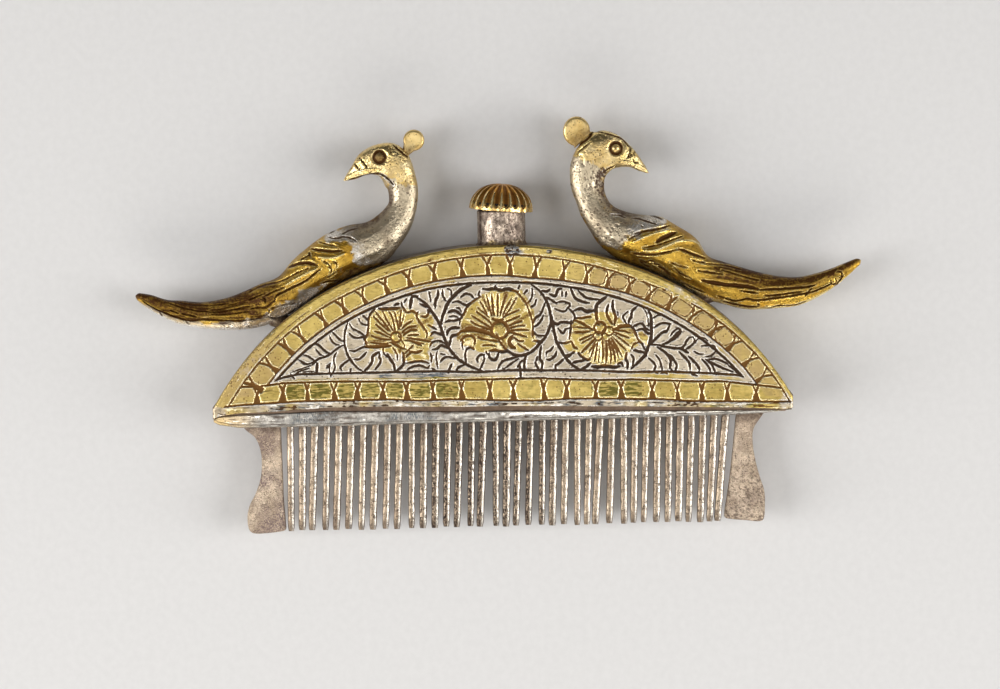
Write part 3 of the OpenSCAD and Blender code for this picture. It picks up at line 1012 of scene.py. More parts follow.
class Chasing:
    """A worked metal surface on a fine grid: its relief, gilt, grime and painted shade, films, and rubbing
    and painted highlights.
    """

    # The grime mask also carries painted shade, the rub mask painted highlights, and the film mask the
    # stopper's pale painted ribs.
    PAINTS = ("gilt", "grime_and_shade", "film_and_sheen", "rub_and_highlight", "fade")

    def __init__(self, low: Pair, high: Pair, pitch: float) -> None:
        """Lays out an empty grid.

        Args:
            low: lower left corner.
            high: upper right corner.
            pitch: size of a cell.
        """
        self.low, self.pitch = low, pitch
        self.x, self.y = np.meshgrid(np.arange(low[0], high[0], pitch), np.arange(low[1], high[1], pitch))
        self.jitter = 0.05 * lattice(self.x / 0.3, self.y / 0.3, 19)
        for layer in ("cut", "rise", *self.PAINTS):
            setattr(self, layer, np.zeros(self.x.shape))

    def most(self, layer: str, value: Points, part: Part = WHOLE) -> None:
        """Raises a layer to a value wherever the value is higher."""
        grid = getattr(self, layer)
        grid[part] = np.maximum(grid[part], value)

    def lay(self, layer: str, where: Points, value: Points) -> None:
        """Sets a layer to a value in some of its cells."""
        getattr(self, layer)[where] = value[where]

    def window(self, points: Points, reach: float) -> Part:
        """The part of the grid within reach of some points.

        Args:
            points: places in the grid's plane.
            reach: how far from them the part extends.

        Returns:
            Rows and columns of the part.
        """
        rows, columns = self.x.shape
        a = ((points.min(0) - reach - self.low) / self.pitch).astype(int)
        b = ((points.max(0) + reach - self.low) / self.pitch).astype(int) + 2
        return (slice(min(max(a[1], 0), rows), min(max(b[1], 0), rows)),
                slice(min(max(a[0], 0), columns), min(max(b[0], 0), columns)))

    def near(self, points: Points, part: Part) -> tuple[Points, Points]:
        """Measures a part of the grid from a line.

        Args:
            points: the line's points.
            part: the part of the grid.

        Returns:
            The distance to the line, and the place along it from 0 to 1.
        """
        x, y = self.x[part], self.y[part]
        best, along = np.full(x.shape, 1e9), np.zeros(x.shape)
        lengths = np.linalg.norm(np.diff(points, axis=0), axis=1)
        walked = 0.0
        for a, b, length in zip(points[:-1], points[1:], lengths):
            if length < 1e-6:
                continue
            way = (b - a) / length
            t = np.clip((x - a[0]) * way[0] + (y - a[1]) * way[1], 0, length)
            gap = (x - a[0] - t * way[0]) ** 2 + (y - a[1] - t * way[1]) ** 2
            closer = gap < best
            best[closer], along[closer] = gap[closer], (walked + t)[closer]
            walked += length
        return np.sqrt(best), along / max(walked, 1e-6)

    def away(self, centre: Pair, part: Part) -> Points:
        """Distance of the cells of a part from a point."""
        return np.hypot(self.x[part] - centre[0], self.y[part] - centre[1])

    def depth_in(self, outline: Points, part: Part) -> Points:
        """Distance of the cells of a part inside a closed outline, below 0 outside it."""
        gap, _ = self.near(np.vstack([outline, outline[:1]]), part)
        return np.where(inside(self.x[part], self.y[part], outline), gap, -gap)

    def draw(self, stroke: Stroke, depth: float, dirt: float, burr: float = 0.3) -> None:
        """Cuts or raises one stroke, thinner towards its ends.

        Args:
            stroke: the stroke.
            depth: how deep it is cut, or how high it is raised.
            dirt: how much grime lies in it.
            burr: height of the lip thrown up beside a cut, as a share of its depth.
        """
        line = flowing(stroke.points, 4) if len(stroke.points) > 2 else stroke.points
        part = self.window(line, stroke.width * 1.6)
        gap, along = self.near(line, part)
        half = stroke.width / 2 * (0.5 + 0.5 * unit(np.minimum(along, 1 - along) / 0.22) ** 0.6)
        if stroke.raised:
            self.most("rise", depth * bell(gap / half), part)
            # The tops of raised strokes are painted bright as highlights.
            self.most("rub_and_highlight", unit(depth * 4) * bell(gap / (0.6 * half)), part)
            return
        self.groove(part, gap + self.jitter[part], half, depth, dirt, burr)

    def groove(self, part: Part, gap: Points, half: Points, depth: Points, dirt: Points,
               burr: float) -> None:
        """Cuts a steep-sided groove with a lip thrown up on each side.

        Args:
            part: the part of the grid.
            gap: distance of each cell there from the groove's middle.
            half: half the groove's width.
            depth: how deep it is.
            dirt: how much grime lies in it.
            burr: height of the lips, as a share of the depth.
        """
        lip = bell((gap - half - 0.1) / 0.075)
        self.most("cut", depth * ease(half * 1.3, half * 0.2, gap), part)
        self.most("rise", depth * burr * lip, part)
        # The thrown-up lips are painted bright, as burnish and as painted highlights.
        self.most("rub_and_highlight", unit(depth * 7) * lip, part)
        self.most("grime_and_shade", dirt * ease(half + 0.1, half - 0.1, gap), part)

    def line(self, gap: Points, where: Points, width: float, depth: float, dirt: float) -> None:
        """Cuts a long line that is known by its distance from every cell."""
        half = width / 2 * (1 + 0.14 * lattice(self.x * 1.3, self.y * 1.3, 27))
        self.groove(WHOLE, np.abs(gap) + 0.7 * self.jitter, half, depth * where, dirt * where, 0.25)

    def mask(self, outline: Points, soft: float) -> tuple[Part, Points]:
        """Masks a closed outline.

        Args:
            outline: its corners.
            soft: width of the mask's edge.

        Returns:
            The part of the grid that it covers, and the mask there.
        """
        part = self.window(outline, soft)
        return part, ease(-soft / 2, soft / 2, self.depth_in(outline, part) + 3 * self.jitter[part])

    def dome(self, centre: Pair, radius: float, height: float) -> None:
        """Raises a round boss."""
        part = self.window(np.array([centre]), radius)
        self.most("rise", height * np.sqrt(unit(1 - (self.away(centre, part) / radius) ** 2)), part)

    def sink(self, outline: Points, depth: float, soft: float) -> None:
        """Cuts a flat-floored hollow with a lip thrown up round it.

        Args:
            outline: its corners.
            depth: how deep it is.
            soft: width of its sloping side.
        """
        part = self.window(outline, 0.5)
        signed = self.depth_in(outline, part) + self.jitter[part]
        lip = bell((signed + 0.12) / 0.08)
        self.most("cut", depth * ease(-soft, soft, signed), part)
        self.most("grime_and_shade", ease(-0.1, 0.1, signed), part)
        self.most("rise", 0.3 * depth * lip, part)
        # The thrown-up lip is painted bright, as burnish and as painted highlight.
        self.most("rub_and_highlight", 0.9 * lip, part)

    def ring(self, centre: Pair, radius: float, width: float, depth: float) -> None:
        """Cuts a round groove.

        Args:
            centre: its middle.
            radius: of the groove's middle line.
            width: of the groove.
            depth: of the groove.
        """
        part = self.window(np.array([centre]), radius + 2 * width)
        gap = np.abs(self.away(centre, part) - radius)
        self.most("cut", depth * bell(gap / (0.6 * width)), part)
        self.most("grime_and_shade", np.exp(-(gap / (0.7 * width)) ** 4), part)

    def pits(self, outline: Points, count: int, size: float, seed: int) -> None:
        """Scatters casting pits inside an outline.

        Args:
            outline: where they may lie.
            count: how many are tried.
            size: radius of the largest.
            seed: fixes their places.
        """
        random = np.random.default_rng(seed)
        low, high = outline.min(0), outline.max(0)
        for _ in range(count):
            place = random.uniform(low, high)
            radius = size * random.uniform(0.35, 1) ** 1.5
            if not inside(place[:1], place[1:], outline)[0]:
                continue
            part = self.window(place[None], 2 * radius)
            gap = self.away(place, part) / radius
            self.most("cut", 0.9 * radius * bell(gap), part)
            self.most("grime_and_shade", 0.95 * np.exp(-gap ** 4), part)

    def read(self, grid: Points, x: Points, y: Points) -> Points:
        """Reads a layer between its cells.

        Args:
            grid: the layer.
            x: places along.
            y: heights.

        Returns:
            Its values there.
        """
        rows, columns = grid.shape
        u = np.clip((x - self.low[0]) / self.pitch, 0, columns - 1.001)
        v = np.clip((y - self.low[1]) / self.pitch, 0, rows - 1.001)
        i, j = u.astype(int), v.astype(int)
        u, v = u - i, v - j
        return ((grid[j, i] * (1 - u) + grid[j, i + 1] * u) * (1 - v)
                + (grid[j + 1, i] * (1 - u) + grid[j + 1, i + 1] * u) * v)

    def relief(self, x: Points, y: Points) -> Points:
        """Height of the worked surface over the plain one."""
        return self.read(self.rise * np.exp(-self.cut / 0.08) - self.cut, x, y)

    def paints(self, x: Points, y: Points) -> dict[str, Points]:
        """The masks that the finishes read."""
        return {key: unit(self.read(getattr(self, key), x, y)) for key in self.PAINTS}


def step(operation: str, swapped: bool = False) -> Callable:
    """Makes an operator that adds one step of arithmetic to a tree of nodes.

    Args:
        operation: the step's name.
        swapped: whether the value stands second.

    Returns:
        The operator.
    """
    def apply(value: "Value", other: object) -> "Value":
        """Adds the step."""
        return value.wiring.maths(operation, *((other, value) if swapped else (value, other)))
    return apply


class Value:
    """What a socket gives, with the plain operators of arithmetic."""

    def __init__(self, wiring: "Wiring", socket: Socket) -> None:
        """Takes a socket of a tree."""
        self.wiring, self.socket = wiring, socket

    __add__, __radd__ = step("ADD"), step("ADD", True)
    __sub__, __rsub__ = step("SUBTRACT"), step("SUBTRACT", True)
    __mul__, __rmul__ = step("MULTIPLY"), step("MULTIPLY", True)
    __truediv__, __rtruediv__ = step("DIVIDE"), step("DIVIDE", True)


class Wiring:
    """Shorthand for wiring a tree of nodes."""

    KINDS = {"float": "NodeSocketFloat", "int": "NodeSocketInt", "vector": "NodeSocketVector",
             "shape": "NodeSocketGeometry", "finish": "NodeSocketMaterial"}

    def __init__(self, tree: Tree) -> None:
        """Starts wiring in a tree."""
        self.tree = tree
        self.entry: bpy.types.Node | None = None

    @classmethod
    def group(cls, name: str, kind: str, inputs: dict[str, str], outputs: dict[str, str]) -> "Wiring":
        """Starts a node group with named inputs and outputs.

        Args:
            name: the group's name.
            kind: the type of its tree.
            inputs: labels by kind of socket, with commas between them.
            outputs: the same for what it puts out.

        Returns:
            The wiring of the new group.
        """
        tree = bpy.data.node_groups.new(name, kind)
        for way, sockets in (("INPUT", inputs), ("OUTPUT", outputs)):
            for socket, labels in sockets.items():
                for label in labels.split(", "):
                    tree.interface.new_socket(name=label, in_out=way, socket_type=cls.KINDS[socket])
        wiring = cls(tree)
        wiring.entry = tree.nodes.new("NodeGroupInput")
        return wiring

    def given(self, label: str) -> Value:
        """The group's own input of that name."""
        return Value(self, self.entry.outputs[label])

    def feed(self, socket: Socket, value: object) -> None:
        """Links a socket, or sets it where the value is plain.

        Args:
            socket: the input that is fed.
            value: a node's output, or a plain value.
        """
        value = value.socket if isinstance(value, Value) else value
        if isinstance(value, Socket):
            self.tree.links.new(value, socket)
        else:
            socket.default_value = value

    def node(self, kind: str, inputs: dict | None = None, **settings: object) -> bpy.types.Node:
        """Adds a node.

        Args:
            kind: its type.
            inputs: links or values for its inputs, by name or number.
            settings: its own properties.

        Returns:
            The node.
        """
        made = self.tree.nodes.new(kind)
        for key, value in settings.items():
            setattr(made, key, value)
        for key, value in (inputs or {}).items():
            self.feed(made.inputs[key], value)
        return made

    def first(self, kind: str, inputs: dict | None = None, **settings: object) -> Value:
        """Adds a node and gives its first output."""
        return Value(self, self.node(kind, inputs, **settings).outputs[0])

    def maths(self, operation: str, *values: object) -> Value:
        """One step of arithmetic."""
        return self.first("ShaderNodeMath", dict(enumerate(values)), operation=operation)

    def clip(self, value: Value) -> Value:
        """The value held between 0 and 1."""
        return self.first("ShaderNodeMath", {0: value, 1: 0.0}, operation="ADD", use_clamp=True)

    def ease(self, value: Value, low: float, high: float) -> Value:
        """Eases from 0 at low to 1 at high."""
        return self.first("ShaderNodeMapRange", {"Value": value, "From Min": low, "From Max": high},
                          interpolation_type="SMOOTHSTEP")

    def blend(self, share: object, first: object, second: object) -> Socket:
        """Mixes two colours."""
        ends = [(*colour, 1) if isinstance(colour, tuple) else colour for colour in (first, second)]
        return self.node("ShaderNodeMix", {0: share, 6: ends[0], 7: ends[1]}, data_type="RGBA").outputs[2]

    def place(self) -> Socket:
        """Where a shaded point lies on its object."""
        return self.node("ShaderNodeTexCoord").outputs["Object"]

    def parts(self, vector: Value) -> list[Value]:
        """The three parts of a vector."""
        return [Value(self, socket) for socket in self.node("ShaderNodeSeparateXYZ", {0: vector}).outputs]

    def vector(self, *parts: object) -> Value:
        """The vector with some parts."""
        return self.first("ShaderNodeCombineXYZ", dict(enumerate(parts)))

    def attribute(self, name: str) -> Value:
        """A value stored on the points."""
        return self.first("GeometryNodeInputNamedAttribute", {"Name": name}, data_type="FLOAT")

    def noise(self, vector: object, scale: object, seed: object, detail: float = 2.0) -> Value:
        """Smooth noise from -1 to 1, the same each time for a seed."""
        inputs = {"Vector": vector, "W": seed, "Scale": scale, "Detail": detail}
        return self.first("ShaderNodeTexNoise", inputs, noise_dimensions="4D") * 2.0 - 1.0

    def store(self, shape: Value, name: str, value: object) -> Value:
        """Stores a value on the points under a name."""
        inputs = {"Geometry": shape, "Name": name, "Value": value}
        return self.first("GeometryNodeStoreNamedAttribute", inputs, data_type="FLOAT", domain="POINT")

    def close(self, outputs: dict[str, Value]) -> Tree:
        """Ends the tree with its outputs.

        Args:
            outputs: the value of each output by its name.

        Returns:
            The finished tree.
        """
        end = self.tree.nodes.new("NodeGroupOutput")
        for label, value in outputs.items():
            self.feed(end.inputs[label], value)
        return self.tree

    def finish(self, shape: Value, material: Value, merge: float) -> Tree:
        """Ends a geometry tree: merged, smooth, real and dressed.

        Args:
            shape: the geometry.
            material: the finish.
            merge: distance under which points merge, or 0.

        Returns:
            The tree.
        """
        if merge:
            shape = self.first("GeometryNodeMergeByDistance", {"Geometry": shape, "Distance": merge})
        shape = self.first("GeometryNodeSetShadeSmooth", {"Geometry": shape})
        shape = self.first("GeometryNodeRealizeInstances", {"Geometry": shape})
        return self.close({"Geometry": self.first("GeometryNodeSetMaterial", {"Geometry": shape,
                                                                             "Material": material})})


def grow(name: str, points: Points, values: dict[str, Points], tree: Tree, inputs: dict[str, object],
         sharp_deg: float) -> Object:
    """Runs a geometry tree on loose points and keeps its result as a plain mesh.

    Args:
        name: the name of the piece.
        points: places in millimetres.
        values: named numbers for the points.
        tree: the tree.
        inputs: what its named inputs are set to.
        sharp_deg: edges that turn by more than this stay sharp.

    Returns:
        The piece, with its faces turned outwards.
    """
    start = bpy.data.meshes.new(name)
    start.from_pydata((points * MM).tolist(), [], [])
    mark(start, values)
    made = add(name, start)
    modifier = made.modifiers.new(tree.name, "NODES")
    modifier.node_group = tree
    for item in tree.interface.items_tree:
        if item.in_out == "INPUT" and item.name in inputs:
            modifier[item.identifier] = inputs[item.name]
    graph = bpy.context.evaluated_depsgraph_get()
    mesh = bpy.data.meshes.new_from_object(made.evaluated_get(graph), preserve_all_data_layers=True,
                                           depsgraph=graph)
    made.modifiers.remove(modifier)
    made.data = mesh
    work = bmesh.new()
    work.from_mesh(mesh)
    bmesh.ops.recalc_face_normals(work, faces=work.faces)
    work.to_mesh(mesh)
    work.free()
    mesh.set_sharp_from_angle(angle=math.radians(sharp_deg))
    if len(mesh.materials) == 0:
        raise ValueError(f"{name} has no finish")
    return made


class Weathering:
    """The shader groups that every finish shares."""

    def __init__(self) -> None:
        """Builds each group once."""
        self.patches = self.make_patches()
        self.pits = self.make_pits()
        self.scratches = self.make_scratches()

    def make_patches(self) -> Tree:
        """Wires soft patches of tone, a few to a given size.

        Returns:
            The group.
        """
        wiring = Wiring.group("tone_patches", "ShaderNodeTree", {"float": "Size, Seed"}, {"float": "Mask"})
        wide = wiring.noise(wiring.place(), 1.0 / wiring.given("Size"), wiring.given("Seed"), 4.0)
        return wiring.close({"Mask": wiring.ease(wide, -0.32, 0.32)})

    def make_pits(self) -> Tree:
        """Wires small casting pits and specks of dirt.

        Returns:
            The group.
        """
        wiring = Wiring.group("pitting", "ShaderNodeTree", {"float": "Size, Cover"},
                              {"float": "Mask, Height"})
        place, scale = wiring.place(), 1.0 / wiring.given("Size")
        cells = wiring.node("ShaderNodeTexVoronoi", {"Vector": place, "Scale": scale})
        reach = wiring.given("Cover") * (wiring.noise(place, scale * 0.3, 7.0) + 0.75)
        mask = wiring.clip((reach - cells.outputs["Distance"]) / 0.12)
        return wiring.close({"Mask": mask, "Height": mask * -1.0})

    def make_scratches(self) -> Tree:
        """Wires fine file and rubbing marks along one way.

        Returns:
            The group.
        """
        wiring = Wiring.group("rubbing_marks", "ShaderNodeTree",
                              {"float": "Size, Turn", "vector": "Stretch"}, {"float": "Height"})
        inputs = {"Vector": wiring.place(), "Angle": wiring.given("Turn")}
        turned = wiring.first("ShaderNodeVectorRotate", inputs, rotation_type="Z_AXIS")
        inputs = {0: turned, 1: wiring.given("Stretch")}
        stretched = wiring.first("ShaderNodeVectorMath", inputs, operation="MULTIPLY")
        return wiring.close({"Height": wiring.noise(stretched, 1.0 / wiring.given("Size"), 1.0, 3.0)})


@dataclass(frozen=True)
class ParcelGilt:
    """Silver, gilt in parts, with grime and painted shade in its hollows and painted highlights. Sizes are
    in millimetres.
    """

    name: str
    silver: tuple[Colour, Colour] = ((0.77, 0.69, 0.585), (0.53, 0.455, 0.375))
    gold: tuple[Colour, Colour] = ((0.75, 0.585, 0.225), (0.54, 0.40, 0.13))
    # The stain colour serves grime and painted shade; the burnish colour serves rubbed places and painted
    # highlights.
    stain_and_shade: tuple[Colour, Colour] = ((0.075, 0.044, 0.028), (0.14, 0.062, 0.014))
    burnish_highlight: tuple[Colour, Colour] = ((0.97, 0.93, 0.86), (1.0, 0.88, 0.54))
    crisp: Pair = (0.0, 1.0)
    film_and_sheen: tuple[Colour, Colour] = ((0.15, 0.17, 0.19), (0.155, 0.135, 0.03))
    faded: Colour = (0.57, 0.42, 0.23)
    roughness: Pair = (0.26, 0.42)
    patch_size: float = 6.0
    fine_size: float = 0.9
    ragged_size: float = 0.28
    pit_size: float = 0.55
    pit_cover: float = 0.22
    pit_depth: float = 0.02
    mark_size: float = 0.35
    mark_stretch: Triple = (1.0, 1.0, 1.0)
    mark_turn: float = 0.0
    mark_depth: float = 0.006
    dulling: float = 0.8
    seed: float = 0.0

    def build(self, shared: Weathering) -> Material:
        """Wires the finish.

        Args:
            shared: the groups for patches, pits and scratches.

        Returns:
            The material.
        """
        made = bpy.data.materials.new(self.name)
        made.use_nodes = True
        made.node_tree.nodes.clear()
        wiring = Wiring(made.node_tree)
        clip, blend, most = wiring.clip, wiring.blend, partial(wiring.maths, "MAXIMUM")
        gilt, grime_and_shade, film_and_sheen, rub_and_highlight, fade = (self.painted(wiring, key) for key in Chasing.PAINTS)
        broad = self.placed(wiring, shared.patches, Size=self.patch_size * MM, Seed=self.seed)
        fine = self.placed(wiring, shared.patches, Size=self.fine_size * MM, Seed=self.seed + 3)
        ragged = self.placed(wiring, shared.patches, Size=self.ragged_size * MM, Seed=self.seed + 5)
        pits = self.placed(wiring, shared.pits, Size=self.pit_size * MM, Cover=self.pit_cover)
        marks = self.placed(wiring, shared.scratches, Size=self.mark_size * MM, Turn=self.mark_turn,
                            Stretch=self.mark_stretch)
        tone = broad["Mask"] * 0.6 + fine["Mask"] * 0.4
        gold_share = wiring.ease(gilt + tone * 0.25, 0.32, 0.86)
        metal = blend(gold_share, blend(tone, *self.silver), blend(tone, *self.gold))
        streak = 0.3 + wiring.ease(marks["Height"], -0.16, 0.16) * 1.2
        metal = blend(clip(film_and_sheen * streak), metal, blend(gold_share, *self.film_and_sheen))
        metal = blend(fade * 0.8, metal, self.faded)
        uneven = grime_and_shade * (1.0 + (ragged["Mask"] - 0.5) * 0.34)
        patchy = wiring.first("ShaderNodeMapRange", {"Value": uneven, "From Min": self.crisp[0],
                                                     "From Max": self.crisp[1]})
        # Rubbed places and painted highlights turn to the pale burnish colour.
        rubbed_highlight = wiring.ease(rub_and_highlight * (0.75 + ragged["Mask"] * 0.5), 0.3, 0.8)
        metal = blend(rubbed_highlight * 0.85, metal, blend(gold_share, *self.burnish_highlight))
        # Grime, pits and painted shade darken the metal towards the stain colour.
        dirt_and_shade = clip(most(patchy, pits["Mask"] * 0.85))
        shine = tone * (self.roughness[1] - self.roughness[0]) + (dirt_and_shade - rubbed_highlight) * 0.2
        height = pits["Height"] * self.pit_depth + marks["Height"] * self.mark_depth
        bump = wiring.first("ShaderNodeBump", {"Height": height, "Distance": MM, "Strength": 1.0})
        # Rubbed places and painted highlights lose some metallic, so they stay pale whatever they reflect.
        surface = wiring.first("ShaderNodeBsdfPrincipled", {
            "Base Color": blend(dirt_and_shade, metal, blend(gold_share, *self.stain_and_shade)), "Normal": bump,
            "Specular IOR Level": 0.2, "Metallic": 1.0 - most(dirt_and_shade * self.dulling, rubbed_highlight * 0.3),
            "Roughness": shine + (1.0 - gold_share) * 0.1 + self.roughness[0]})
        wiring.node("ShaderNodeOutputMaterial", {"Surface": surface})
        return made

    def painted(self, wiring: Wiring, key: str) -> Value:
        """A mask painted on the piece's points."""
        made = wiring.node("ShaderNodeAttribute", attribute_type="GEOMETRY", attribute_name=key)
        return Value(wiring, made.outputs["Fac"])

    def placed(self, wiring: Wiring, group: Tree, **inputs: object) -> dict[str, Value]:
        """Places a shared group with this finish's own values.

        Args:
            wiring: the material's wiring.
            group: the shared group.
            inputs: its values by label.

        Returns:
            Its outputs by label.
        """
        made = wiring.node("ShaderNodeGroup", node_tree=group)
        for label, value in inputs.items():
            wiring.feed(made.inputs[label], value)
        return {socket.name: Value(wiring, socket) for socket in made.outputs}


FINISHES = {
    "engraved": ParcelGilt(
        "engraved_parcel_gilt", silver=((0.79, 0.685, 0.525), (0.52, 0.435, 0.315)),
        gold=((0.76, 0.585, 0.19), (0.52, 0.37, 0.10)), faded=(0.54, 0.385, 0.185),
        stain_and_shade=((0.06, 0.034, 0.018), (0.16, 0.07, 0.013)), crisp=(0.34, 0.66), mark_stretch=(0.3, 1.8, 1.0),
        mark_depth=0.03, pit_cover=0.3, roughness=(0.32, 0.44)),
    "bird": ParcelGilt(
        "cast_parcel_gilt", silver=((0.75, 0.64, 0.455), (0.49, 0.40, 0.275)),
        gold=((0.90, 0.58, 0.10), (0.55, 0.305, 0.035)), faded=(0.88, 0.74, 0.44),
        burnish_highlight=((0.97, 0.93, 0.86), (1.0, 0.82, 0.36)), stain_and_shade=((0.09, 0.055, 0.037), (0.07, 0.025, 0.003)),
        crisp=(0.05, 0.8), patch_size=3.0, pit_size=0.4, pit_cover=0.36, pit_depth=0.035, mark_size=0.4,
        mark_depth=0.055, dulling=0.6, roughness=(0.24, 0.4), seed=1.0),
    "crest": ParcelGilt(
        "pitted_gilt", silver=((0.80, 0.68, 0.52), (0.62, 0.48, 0.34)),
        gold=((0.90, 0.70, 0.33), (0.68, 0.46, 0.15)), patch_size=2.0, pit_size=0.4, pit_cover=0.36,
        pit_depth=0.03, roughness=(0.34, 0.48), seed=2.0),
    "tooth": ParcelGilt(
        "worn_tooth_silver", silver=((0.65, 0.515, 0.37), (0.34, 0.25, 0.175)),
        stain_and_shade=((0.045, 0.027, 0.02), (0.1, 0.06, 0.02)), film_and_sheen=((0.035, 0.024, 0.02), (0.1, 0.06, 0.02)),
        burnish_highlight=((0.97, 0.91, 0.80), (1.0, 0.92, 0.66)), patch_size=3.5, fine_size=0.5, pit_size=0.19,
        pit_cover=0.56, mark_size=0.3, mark_stretch=(1.5, 1.0, 1.5), mark_depth=0.05,
        roughness=(0.24, 0.38), seed=3.0),
    "guard": ParcelGilt(
        "worn_guard_silver", silver=((0.80, 0.65, 0.49), (0.44, 0.34, 0.245)),
        stain_and_shade=((0.07, 0.042, 0.03), (0.1, 0.06, 0.02)), film_and_sheen=((0.28, 0.205, 0.18), (0.4, 0.3, 0.15)),
        patch_size=2.4, fine_size=0.25, pit_size=0.17, pit_cover=0.42, mark_turn=0.6, mark_size=0.18,
        mark_depth=0.12, roughness=(0.28, 0.42), seed=4.0),
    # The dome's film colour is the pale gold painted on its ribs as a highlight.
    "dome": ParcelGilt(
        "darkened_gilt", gold=((0.74, 0.40, 0.09), (0.42, 0.19, 0.03)),
        film_and_sheen=((0.97, 0.70, 0.28), (1.0, 0.74, 0.30)), burnish_highlight=((1.0, 0.84, 0.48), (1.0, 0.84, 0.46)),
        stain_and_shade=((0.05, 0.028, 0.015), (0.17, 0.06, 0.008)), patch_size=1.2, roughness=(0.2, 0.34),
        pit_cover=0.3, pit_size=0.4, dulling=0.62, seed=5.0),
    "neck": ParcelGilt(
        "mottled_silver", silver=((0.78, 0.65, 0.51), (0.27, 0.20, 0.155)),
        stain_and_shade=((0.06, 0.037, 0.026), (0.12, 0.06, 0.02)), film_and_sheen=((0.30, 0.235, 0.20), (0.4, 0.3, 0.15)),
        patch_size=1.4, fine_size=0.4, pit_size=0.3, pit_cover=0.46, mark_size=0.3,
        mark_stretch=(3.0, 0.5, 3.0), mark_depth=0.035, roughness=(0.24, 0.38), seed=6.0),
    "lip": ParcelGilt(
        "rubbed_silver", silver=((0.50, 0.46, 0.40), (0.25, 0.235, 0.21)),
        film_and_sheen=((0.06, 0.075, 0.085), (0.4, 0.3, 0.12)), burnish_highlight=((0.98, 0.92, 0.80), (0.98, 0.88, 0.6)),
        patch_size=1.6, fine_size=0.35, mark_size=0.2, mark_stretch=(3.0, 0.35, 1.0), mark_depth=0.08,
        roughness=(0.28, 0.4), seed=7.0),
    "back": ParcelGilt(
        "plain_silver", silver=((0.76, 0.69, 0.60), (0.46, 0.40, 0.34)), patch_size=9.0,
        mark_stretch=(0.3, 2.0, 1.0), mark_turn=0.5, mark_depth=0.01, seed=8.0),
    # The edge band is painted dark brown as the shade it lies in.
    "band": ParcelGilt(
        "edge_band_silver", silver=((0.40, 0.33, 0.26), (0.20, 0.155, 0.12)), patch_size=4.0, pit_cover=0.3,
        mark_stretch=(1.0, 1.0, 0.3), mark_depth=0.012, roughness=(0.3, 0.46), seed=9.0),
    "block": ParcelGilt(
        "stained_silver", silver=((0.42, 0.30, 0.21), (0.26, 0.175, 0.12)),
        stain_and_shade=((0.08, 0.05, 0.034), (0.12, 0.06, 0.02)), patch_size=2.0, seed=10.0),
    # The disc is painted nearly black, as the shadow line under the stopper.
    "disc": ParcelGilt(
        "shade_dark_disc", silver=((0.035, 0.027, 0.022), (0.02, 0.016, 0.013)), roughness=(0.55, 0.7),
        seed=11.0),
    "plug": ParcelGilt(
        "stopper_silver", silver=((0.62, 0.58, 0.57), (0.38, 0.34, 0.34)), patch_size=2.0, seed=12.0),
}


@dataclass(frozen=True)
class BarLine:
    """The run of the bar along the flask's foot, as the hand left it."""

    rows: Points
    worn_end: float = 43.9

    def along(self, x: Points, first: float, heights: Points, last: float) -> Points:
        """Follows heights along the bar from a first one to a last one at its worn ends."""
        return np.interp(x, [-self.worn_end, *self.rows[:, 0], self.worn_end], [first, *heights, last])

    def plate_foot(self, x: Points) -> Points:
        """Foot of the front sheet, over the groove."""
        return self.along(x, 0.1, self.rows[:, 1] + self.rows[:, 2], -0.1)

    def lip_top(self, x: Points) -> Points:
        """Top of the lip, under the groove."""
        return self.along(x, 0.05, self.rows[:, 1] - self.rows[:, 2], -0.28)

    def lip_foot(self, x: Points) -> Points:
        """Lower edge of the lip."""
        return self.along(x, -0.3, self.rows[:, 3], -0.4)


class Ground(NamedTuple):
    """Where each cell of the sheet lies, and the front's lines beside it."""

    run: Points
    inset: Points
    rim: Points
    plaque: Points
    inner: Points
    foot: Points
    strip: Points
    low: Points


